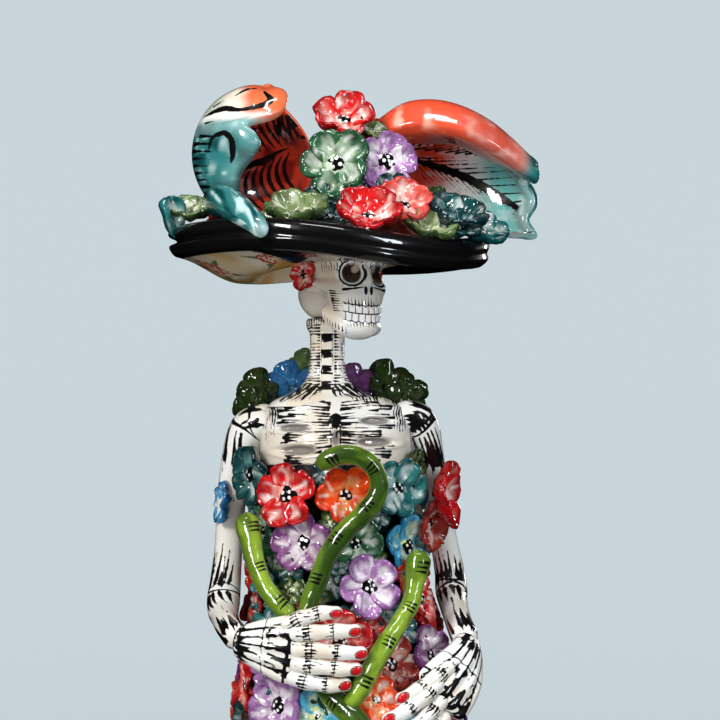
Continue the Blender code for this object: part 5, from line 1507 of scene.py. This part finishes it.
def right_plume_rear():
    """Long barbs and short ones below them on the plume's back, by the way across and the rise."""
    rows = [(PLUME_ROUND * (0.08 + 0.1 * i), -20 + 6 * (i % 2), PLUME_ROUND * (0.13 + 0.1 * i),
             34 + 4 * (i % 3), 2.2, 0.2) for i in range(7)]
    rows += [(PLUME_ROUND * (0.06 + 0.033 * i), -24, PLUME_ROUND * (0.05 + 0.033 * i), -38 + 3 * (i % 2),
              0.9, 0.05) for i in range(20)]
    return rows


def right_plume_inside():
    """A rib inside the plume with barbs that hang from it and others that rise, by X and height."""
    rows = polyline(((-40, 37.0, 0.8), (-34, 40.0, 2.6), (-28, 43.0, 2.0), (-22, 46.0, 1.4), (-16, 48, 0.3)))
    rows += polyline(((-34, 40.8, 1.5), (-28, 41.4, 1.9), (-22, 45.0, 0.3)))
    for i in range(7):
        x0, z0 = -36.5 + 3.3 * i, 37.5 + 1.45 * i
        rows += polyline(((x0, z0, 0.4), (x0 - 2.1, z0 - 5, 1.5), (x0 - 1.6, z0 - 10, 1.9),
                          (x0 + 1.4, z0 - 15, 1.5), (x0 + 6.0, z0 - 19, 0.2)))
    for i in range(7):
        x0, z0 = -33 + 2.8 * i, 45.0 + 1.0 * i
        rows += polyline(((x0 + 5, z0, 0.3), (x0 + 1.5, z0 + 4, 1.3), (x0 - 2.0, z0 + 9, 1.3),
                          (x0 - 2.5, z0 + 14, 0.2)))
    for i in range(5):
        x0 = -21 + 2.0 * i
        rows += polyline(((x0, 51, 0.4), (x0 - 2.5, 57, 1.4), (x0 - 3.5, 63, 0.2)))
    return rows


def right_plume():
    """The right plume, curled towards the crown."""
    clay = Clay()
    grid, across, up, side, middle = shell_grid(right_plume_point, right_plume_thickness, 150, 190)
    u, v = middle[..., 0] / MM, middle[..., 2] / MM
    rise = RIGHT_RISE_LOW + RIGHT_RISE_SPAN * up
    front = strokes(u, v + MARKS_RISE, right_plume_front(), wobble=0.18, seed=44)
    rear = strokes(PLUME_ROUND * across, rise, right_plume_rear(), wobble=0.4, seed=45)
    outside = np.where(middle[..., 1] > 0.004, rear, front)
    inside = strokes(u, v, right_plume_inside(), wobble=0.12, seed=46)
    colour = right_plume_colour(grid, across, side, rise, u, v)
    clay.add(grid, colour, np.where(side > RIGHT_OUTSIDE, outside, inside))
    clay.move(HAT_TO_WORLD)
    clay.build("painted_right_plume", GLAZE_PLUME, "hat", "plume_glaze", "right_plume")


# Along the hanging end: X, Y, Z and radius
PLUME_TAIL = (
    (-0.0385, 0.0150, 0.0205, 0.0045), (-0.0432, 0.0020, 0.0216, 0.0058),
    (-0.0437, -0.0110, 0.0216, 0.0065), (-0.0415, -0.0260, 0.0202, 0.0068),
    (-0.0374, -0.0405, 0.0174, 0.0062), (-0.0320, -0.0528, 0.0135, 0.0052),
    (-0.0268, -0.0615, 0.0090, 0.0040), (-0.0236, -0.0648, 0.0042, 0.0026),
)


def plume_tail():
    """The end of the right plume, which hangs over the brim's edge."""
    clay = Clay()
    grid, u, v, _ = tube(curve_points(PLUME_TAIL, 8), sides=72, spacing=0.0004)
    streak = noise(np.stack((u * 0.10, v * 0.9), -1), 1.6, 51)
    patch = noise(np.stack((u, v), -1), 4.5, 52)
    colour = mix(TEAL_WASH, TEAL_DEEP, smoothstep(0.0, 0.5, streak))
    colour = mix(colour, TEAL_PALE, 0.9 * smoothstep(0.1, 0.6, 0.5 * patch - streak))
    colour = mix(colour, TEAL_PALE, smoothstep(u.max() - 7, u.max() - 1, u) * 0.5)
    starts = (-15, -12.5, -10, 12, 15)
    rows = [(8.0, v0, 34 + 6 * (i % 2), v0 * 0.5, 0.8, 0.05) for i, v0 in enumerate(starts)]
    clay.add(grid, colour, strokes(u, v, rows, wobble=0.12, seed=53))
    clay.move(HAT_TO_WORLD)
    clay.build("painted_plume_tail", GLAZE_PLUME, "hat", "teal_glaze", "right_plume_tail")


# From the crown to the tip: X, height of the middle, half height and half depth
LEFT_PLUME_SECTIONS = np.array((
    (0.0190, 0.0400, 0.0160, 0.0085), (0.0290, 0.0410, 0.0220, 0.0140), (0.0400, 0.0405, 0.0242, 0.0170),
    (0.0510, 0.0390, 0.0236, 0.0185), (0.0620, 0.0352, 0.0222, 0.0170), (0.0710, 0.0312, 0.0194, 0.0135),
    (0.0765, 0.0287, 0.0168, 0.0095), (0.0798, 0.0270, 0.0145, 0.0055),
))
LEFT_PLUME_Y = 0.0040
LEFT_ROUND = 224  # degrees from the lower edge round to the rolled upper edge
LEFT_LENGTH = 72  # the number that stands for the whole way along the plume in its outer marks


def left_plume_point(across, up):
    """The plume laid out to the hat's left, a trough whose upper edge rolls over towards the front."""
    x = LEFT_PLUME_SECTIONS[0, 0] + across * (LEFT_PLUME_SECTIONS[-1, 0] - LEFT_PLUME_SECTIONS[0, 0])
    middle, half_height, half_depth = along_table(LEFT_PLUME_SECTIONS, x)
    angle = np.radians(-72 + LEFT_ROUND * up)
    ripple = 1 + 0.05 * np.sin(24 * up) * smoothstep(0.82, 1.0, across)
    x = x + 0.0016 * np.sin(21 * up + 1) * smoothstep(0.85, 1.0, across)
    return np.stack((x, LEFT_PLUME_Y + half_depth * np.cos(angle) * ripple,
                     middle + half_height * np.sin(angle) * ripple), -1)


LEFT_RACHIS = np.array(((27, 44.0, 0.6), (34, 43.0, 1.6), (41, 41.4, 2.6), (52, 38.2, 3.3), (62, 33.4, 3.7),
                        (70, 28.4, 3.3), (78, 22.6, 1.2)))  # the rib's X, height and width in millimetres
LEFT_ORANGE, LEFT_SALMON, LEFT_CREAM = (0.80, 0.085, 0.035), (0.90, 0.45, 0.34), (0.88, 0.72, 0.60)
LEFT_WHITE, LEFT_TEAL = (0.84, 0.82, 0.80), (0.16, 0.50, 0.48)


def left_plume_thickness(across, up):
    """Thin below, fat along the rolled upper edge and at the tip's lip."""
    rolled = 0.0042 * smoothstep(0.72, 0.90, up) * (1 - 0.55 * across)
    return 0.0028 + rolled * smoothstep(1.0, 0.93, across) + 0.0016 * smoothstep(0.93, 0.99, across)


def left_plume_colour(grid, across, up, inside, u, v):
    """Orange at the rolled edge and outside, and inside a fan of red by the crown, then white and teal."""
    cloud, streak = noise(grid, 0.006, 61), noise(grid * np.array((0.5, 1, 1)), 0.003, 62)
    orange = mix(LEFT_ORANGE, LEFT_SALMON, smoothstep(0.05, 0.8, cloud + 0.4 * streak))
    orange = mix(orange, LEFT_CREAM, 0.7 * smoothstep(70, 82, u))
    fan = mix(PLUME_RED, LEFT_WHITE, smoothstep(40, 54, u + 3 * cloud - 0.5 * (v - 40)))
    fan = mix(fan, LEFT_TEAL, smoothstep(54, 68, u + 3 * cloud))
    fan = mix(fan, PLUME_DEEP, 0.6 * smoothstep(36, 26, u) * smoothstep(-0.2, 0.6, cloud))
    fan = mix(fan, LEFT_WHITE, 0.35 * smoothstep(0.1, 0.7, streak))
    fan = mix(fan, teal_paint(grid, 0.35, 63), smoothstep(0.90, 0.96, across))
    outside = mix(orange, teal_paint(grid, 0.0, 64), smoothstep(44, 66, u + 4 * cloud))
    colour = np.where(inside[..., None], fan, outside)
    band = smoothstep(0.70, 0.76, up) * smoothstep(0.97, 0.90, across)
    return mix(colour, orange, band * (0.65 + 0.35 * inside))


def left_rib(share):
    """The rib's X and height at a share of its length."""
    x = 28 + 48 * share
    return x, np.interp(x, LEFT_RACHIS[:, 0], LEFT_RACHIS[:, 1])


def left_plume_ink(across, up, inside, u, v):
    """The rib with its fans of barbs inside, and a crest line over long barbs outside."""
    rows = polyline(LEFT_RACHIS)
    rows += barbs(left_rib, 17, 15, -15.0, 0.60, 2.0)
    rows += barbs(lambda share: (left_rib(share)[0], left_rib(share)[1] + 0.5), 9, 23, 1.5, 0.85, 1.0)
    rows += barbs(lambda share: (31 + 30 * share, 48.0 - 1.5 * share), 7, 20, 4.0, 0.80, 0.5)
    rows += barbs(lambda share: (23 + 24 * share, 48 + 3 * share), 7, 9.0, 9.0, 0.85, 0.5)
    ink_in = strokes(u, v, rows, wobble=0.13, seed=65)
    ink_in = np.where((up > 0.735) | (across > 0.955), NO_INK, ink_in)
    rows = [(LEFT_LENGTH * (0.02 + 0.045 * i), 172 - 5 * i, LEFT_LENGTH * (0.10 + 0.045 * i),
             120 - 40 * (i % 2), 1.5, 0.1) for i in range(19)]
    ink_out = strokes(LEFT_LENGTH * across, LEFT_ROUND * up, rows, wobble=0.3, seed=66)
    crest = 1.1 * smoothstep(0.40, 0.95, across) - np.abs(LEFT_ROUND * up - 176) * 0.16
    ink_out = np.maximum(np.where(up > 0.72, NO_INK, ink_out), np.where(across > 0.05, crest * 0.55, NO_INK))
    return np.where(inside, ink_in, ink_out)


def left_plume():
    """The left plume, laid out along the brim."""
    clay = Clay()
    grid, across, up, side, middle = shell_grid(left_plume_point, left_plume_thickness, 170, 200)
    u, v = middle[..., 0] / MM, middle[..., 2] / MM
    inside = side > 0.2
    colour = left_plume_colour(grid, across, up, inside, u, v)
    clay.add(grid, colour, left_plume_ink(across, up, inside, u, v))
    clay.move(HAT_TO_WORLD)
    clay.build("painted_left_plume", GLAZE_PLUME, "hat", "plume_glaze", "left_plume")


# Hat flowers in the hat's frame, near the CAD's places: node, place, facing, radius, pigment, cup
HAT_FLOWERS = (
    ("hat_flower_red_top", (0.0045, -0.0100, 0.0525), (0.05, -0.72, 0.69), 0.0135, "red", 0.25),
    ("hat_flower_green", (0.0025, -0.0235, 0.0355), (-0.08, -0.98, 0.18), 0.0140, "green", 0.05),
    ("hat_flower_purple", (0.0214, -0.0202, 0.0375), (0.30, -0.94, 0.15), 0.0125, "lilac", 0.0),
    ("hat_flower_red_front", (0.0150, -0.0445, 0.0112), (0.05, -0.62, 0.78), 0.0138, "red", 0.34),
    ("hat_flower_salmon", (0.0285, -0.0310, 0.0180), (0.20, -0.75, 0.61), 0.0115, "salmon", 0.30),
    ("hat_flower_olive_front", (-0.0115, -0.0400, 0.0115), (-0.10, -0.42, 0.90), 0.0140, "cream", 0.30),
    ("hat_flower_teal_side", (0.0480, -0.0240, 0.0120), (0.20, -0.45, 0.87), 0.0140, "dark_teal", 0.35),
    ("hat_flower_olive_side", (-0.0540, -0.0130, 0.0140), (-0.10, -0.50, 0.86), 0.0102, "cream", 0.35),
)
# Leaves and buds round them, which no CAD node stands for: place, facing, radius, pigment, petals, cup
HAT_FILLERS = (
    ((-0.0030, -0.0270, 0.0215), (-0.1, -0.95, 0.3), 0.0070, "dark_teal", 4, 0.1),
    ((0.0085, -0.0270, 0.0230), (0.1, -0.95, 0.2), 0.0070, "dark_teal", 4, 0.1),
    ((0.0005, -0.0330, 0.0140), (-0.1, -0.90, 0.4), 0.0065, "dark_teal", 4, 0.1),
    ((0.0240, -0.0240, 0.0250), (0.3, -0.90, 0.2), 0.0080, "dark_teal", 4, 0.1),
    ((-0.0400, 0.0100, 0.0140), (-0.7, 0.50, 0.5), 0.0100, "salmon", 5, 0.2),
    ((0.0392, -0.0375, 0.0068), (0.15, -0.46, 0.88), 0.0112, "cream", 5, 0.3),
    ((0.0590, -0.0150, 0.0100), (0.4, -0.60, 0.70), 0.0115, "teal", 5, 0.3),
    ((0.0500, -0.0310, 0.0100), (0.3, -0.60, 0.75), 0.0095, "dark_teal", 4, 0.3),
    ((0.0420, -0.0180, 0.0200), (0.3, -0.80, 0.50), 0.0080, "olive", 4, 0.3),
    ((-0.0260, -0.0300, 0.0100), (-0.1, -0.50, 0.85), 0.0080, "olive", 4, 0.3),
    ((0.0150, -0.0120, 0.0500), (0.5, -0.60, 0.60), 0.0070, "olive", 4, 0.2),
    ((-0.0360, 0.0300, 0.0120), (-0.3, 0.6, 0.8), 0.0110, "olive", 5, 0.3),
    ((-0.0080, 0.0380, 0.0110), (0.0, 0.6, 0.8), 0.0115, "red", 5, 0.3),
    ((0.0180, 0.0370, 0.0110), (0.1, 0.6, 0.8), 0.0110, "lilac", 5, 0.3),
    ((0.0420, 0.0310, 0.0120), (0.3, 0.5, 0.8), 0.0105, "dark_teal", 5, 0.3),
    ((0.0060, 0.0180, 0.0330), (0.0, 0.95, 0.3), 0.0120, "green", 5, 0.1),
    ((0.0120, 0.0120, 0.0500), (0.2, 0.8, 0.6), 0.0100, "red", 5, 0.2),
)


def hat_flowers():
    """The flowers round the crown, and the small leaves and buds among them."""
    for i, (name, place, facing, radius, pigment, cup) in enumerate(HAT_FLOWERS):
        clay = Clay()
        add_flower(clay, place, facing, radius, pigment, 0.7 * i, 700 + i, cup=cup)
        clay.move(HAT_TO_WORLD)
        clay.build("hat_bloom_" + name[11:], GLAZE_PETAL, "hat", PIGMENT_SLOTS[pigment], name)
    clay = Clay()
    for i, (place, facing, radius, pigment, petals, cup) in enumerate(HAT_FILLERS):
        add_flower(clay, place, facing, radius, pigment, 0.8 * i, 730 + i, petals, 0.2, cup, 0.8)
    rng = np.random.default_rng(760)
    start = len(clay.points)
    add_petal(clay, rng, 0.0172, PIGMENTS["teal"], 0.0, 0.0, 761)
    leaf = Matrix.Rotation(math.radians(-112), 4, "Y") @ Matrix.Rotation(math.radians(125), 4, "X")
    leaf = leaf @ Matrix.Diagonal((1.0, 0.62, 1.0, 1.0))
    clay.move(Matrix.Translation((-0.0580, -0.0190, 0.0055)) @ leaf, start)
    clay.move(HAT_TO_WORLD)
    clay.build("hat_filler_blooms", GLAZE_PETAL, "hat", "teal_glaze")


# ---------------------------------------------------------------- plain CAD nodes
def finish_plain_nodes():
    """Black glaze on the dress's body, base, hem and crown, and bare wood on the peg."""
    for name in ("base_plate", "hem_roll", "skirt_shell", "bodice_shell", "hat_crown"):
        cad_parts[name].data.materials.clear()
        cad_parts[name].data.materials.append(GLAZE_BLACK)
    wood = bpy.data.materials.new("peg_wood_grain")
    wood.use_nodes = True
    tree = wood.node_tree
    place = node(tree, "ShaderNodeTexCoord").outputs["Object"]
    stretch = node(tree, "ShaderNodeMapping", Vector=place, Scale=(900, 900, 60))
    grain = node(tree, "ShaderNodeTexNoise", Vector=stretch.outputs[0], Scale=1.0, Detail=4.0).outputs["Fac"]
    colour = mix_node(tree, grain, (0.62, 0.44, 0.25), (0.30, 0.18, 0.09))
    shader = tree.nodes["Principled BSDF"]
    tree.links.new(colour, shader.inputs["Base Color"])
    shader.inputs["Roughness"].default_value = 0.6
    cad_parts["neck_dowel"].data.materials.clear()
    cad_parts["neck_dowel"].data.materials.append(wood)


# ---------------------------------------------------------------- stage
STAGE_RADIUS = 3.4  # beyond the camera on every side
BACKDROP_TOP = 3.2


def stage():
    """A pale floor that sweeps up into a wall all round, well outside the camera's circle."""
    profile = [(0.001, 0), (1.0, 0), (2.3, 0)]
    profile += [(2.4 + math.sin(a), 1 - math.cos(a)) for a in np.linspace(0, math.pi / 2, 16)]
    profile += [(STAGE_RADIUS, 2.0), (STAGE_RADIUS, BACKDROP_TOP)]
    clay = Clay()
    angle = np.linspace(0, 2 * math.pi, 96, endpoint=False)[None]
    r, z = np.array(profile).T[:, :, None]
    clay.add(np.stack((r * np.cos(angle), r * np.sin(angle), z + 0 * angle), -1), np.ones(3), caps=False)
    data = bpy.data.meshes.new("studio_sweep")
    faces = [[i for i in face if i >= 0] for face in np.vstack(clay.faces).tolist()]
    data.from_pydata(np.vstack(clay.points).tolist(), [], faces)
    data.shade_smooth()
    data.materials.append(stage_material("studio_paper", (0.55, 0.635, 0.665), 0.9, 0.4, 0.84))
    sweep = bpy.data.objects.new("studio_sweep", data)
    bpy.context.scene.collection.objects.link(sweep)
    sweep.visible_glossy = sweep.visible_diffuse = False


# Softboxes: place, width, height, power in watts, colour, and whether the glaze mirrors it
SOFTBOXES = (
    ((-1.0, -1.5, 1.15), 0.42, 0.55, 27, (1.0, 0.98, 0.95), True),
    ((1.2, -1.2, 0.95), 0.22, 0.70, 11, (0.88, 0.94, 1.0), True),
    ((0.1, -0.6, 1.9), 0.70, 0.20, 11, (1.0, 1.0, 1.0), True),
    ((0.2, 1.7, 0.8), 1.20, 0.90, 14, (0.95, 0.97, 1.0), False),
    ((0.9, 1.5, 0.7), 0.25, 0.50, 3, (1.0, 1.0, 1.0), True),
    ((-0.2, -1.5, 0.05), 1.30, 0.30, 7, (1.0, 1.0, 1.0), False),
)
SKY = 0.36


def lights():
    """Softboxes aimed at the bodice, and an even sky."""
    for i, (place, width, height, power, colour, mirrored) in enumerate(SOFTBOXES):
        data = bpy.data.lights.new(f"softbox_{i}", "AREA")
        data.shape, data.size, data.size_y = "RECTANGLE", width, height
        data.energy, data.color = power, colour
        lamp = bpy.data.objects.new(f"softbox_{i}", data)
        lamp.location = place
        lamp.visible_glossy = mirrored
        lamp.rotation_euler = (Vector((0, 0, 0.32)) - Vector(place)).to_track_quat("-Z", "Y").to_euler()
        bpy.context.scene.collection.objects.link(lamp)
    world = bpy.data.worlds.new("studio")
    world.use_nodes = True
    world.node_tree.nodes["Background"].inputs["Color"].default_value = (0.90, 0.95, 1.0, 1)
    world.node_tree.nodes["Background"].inputs["Strength"].default_value = SKY
    world.cycles_visibility.glossy = False
    bpy.context.scene.world = world
    bpy.context.scene.view_settings.view_transform = "Standard"


CAMERA_PLACE, CAMERA_TARGET, CAMERA_LENS = (0.0096, -1.1, 0.300), (0.0096, 0, 0.350), 137.5


def camera():
    """A long lens at chest height, looking a little up."""
    data = bpy.data.cameras.new("camera")
    data.lens = CAMERA_LENS
    data.clip_end = 20
    view = bpy.data.objects.new("camera", data)
    view.location = CAMERA_PLACE
    view.rotation_euler = (Vector(CAMERA_TARGET) - view.location).to_track_quat("-Z", "Y").to_euler()
    bpy.context.scene.collection.objects.link(view)
    bpy.context.scene.camera = view


def main():
    """Builds every painted piece, then the stage."""
    for build in (
        chest, neck, arms, hands, stems, front_flowers, fillers, garlands, shawl, arm_flowers, skull,
        ear_flowers, brim, right_plume, plume_tail, left_plume, hat_flowers, finish_plain_nodes, stage,
        lights, camera,
    ):
        build()


main()
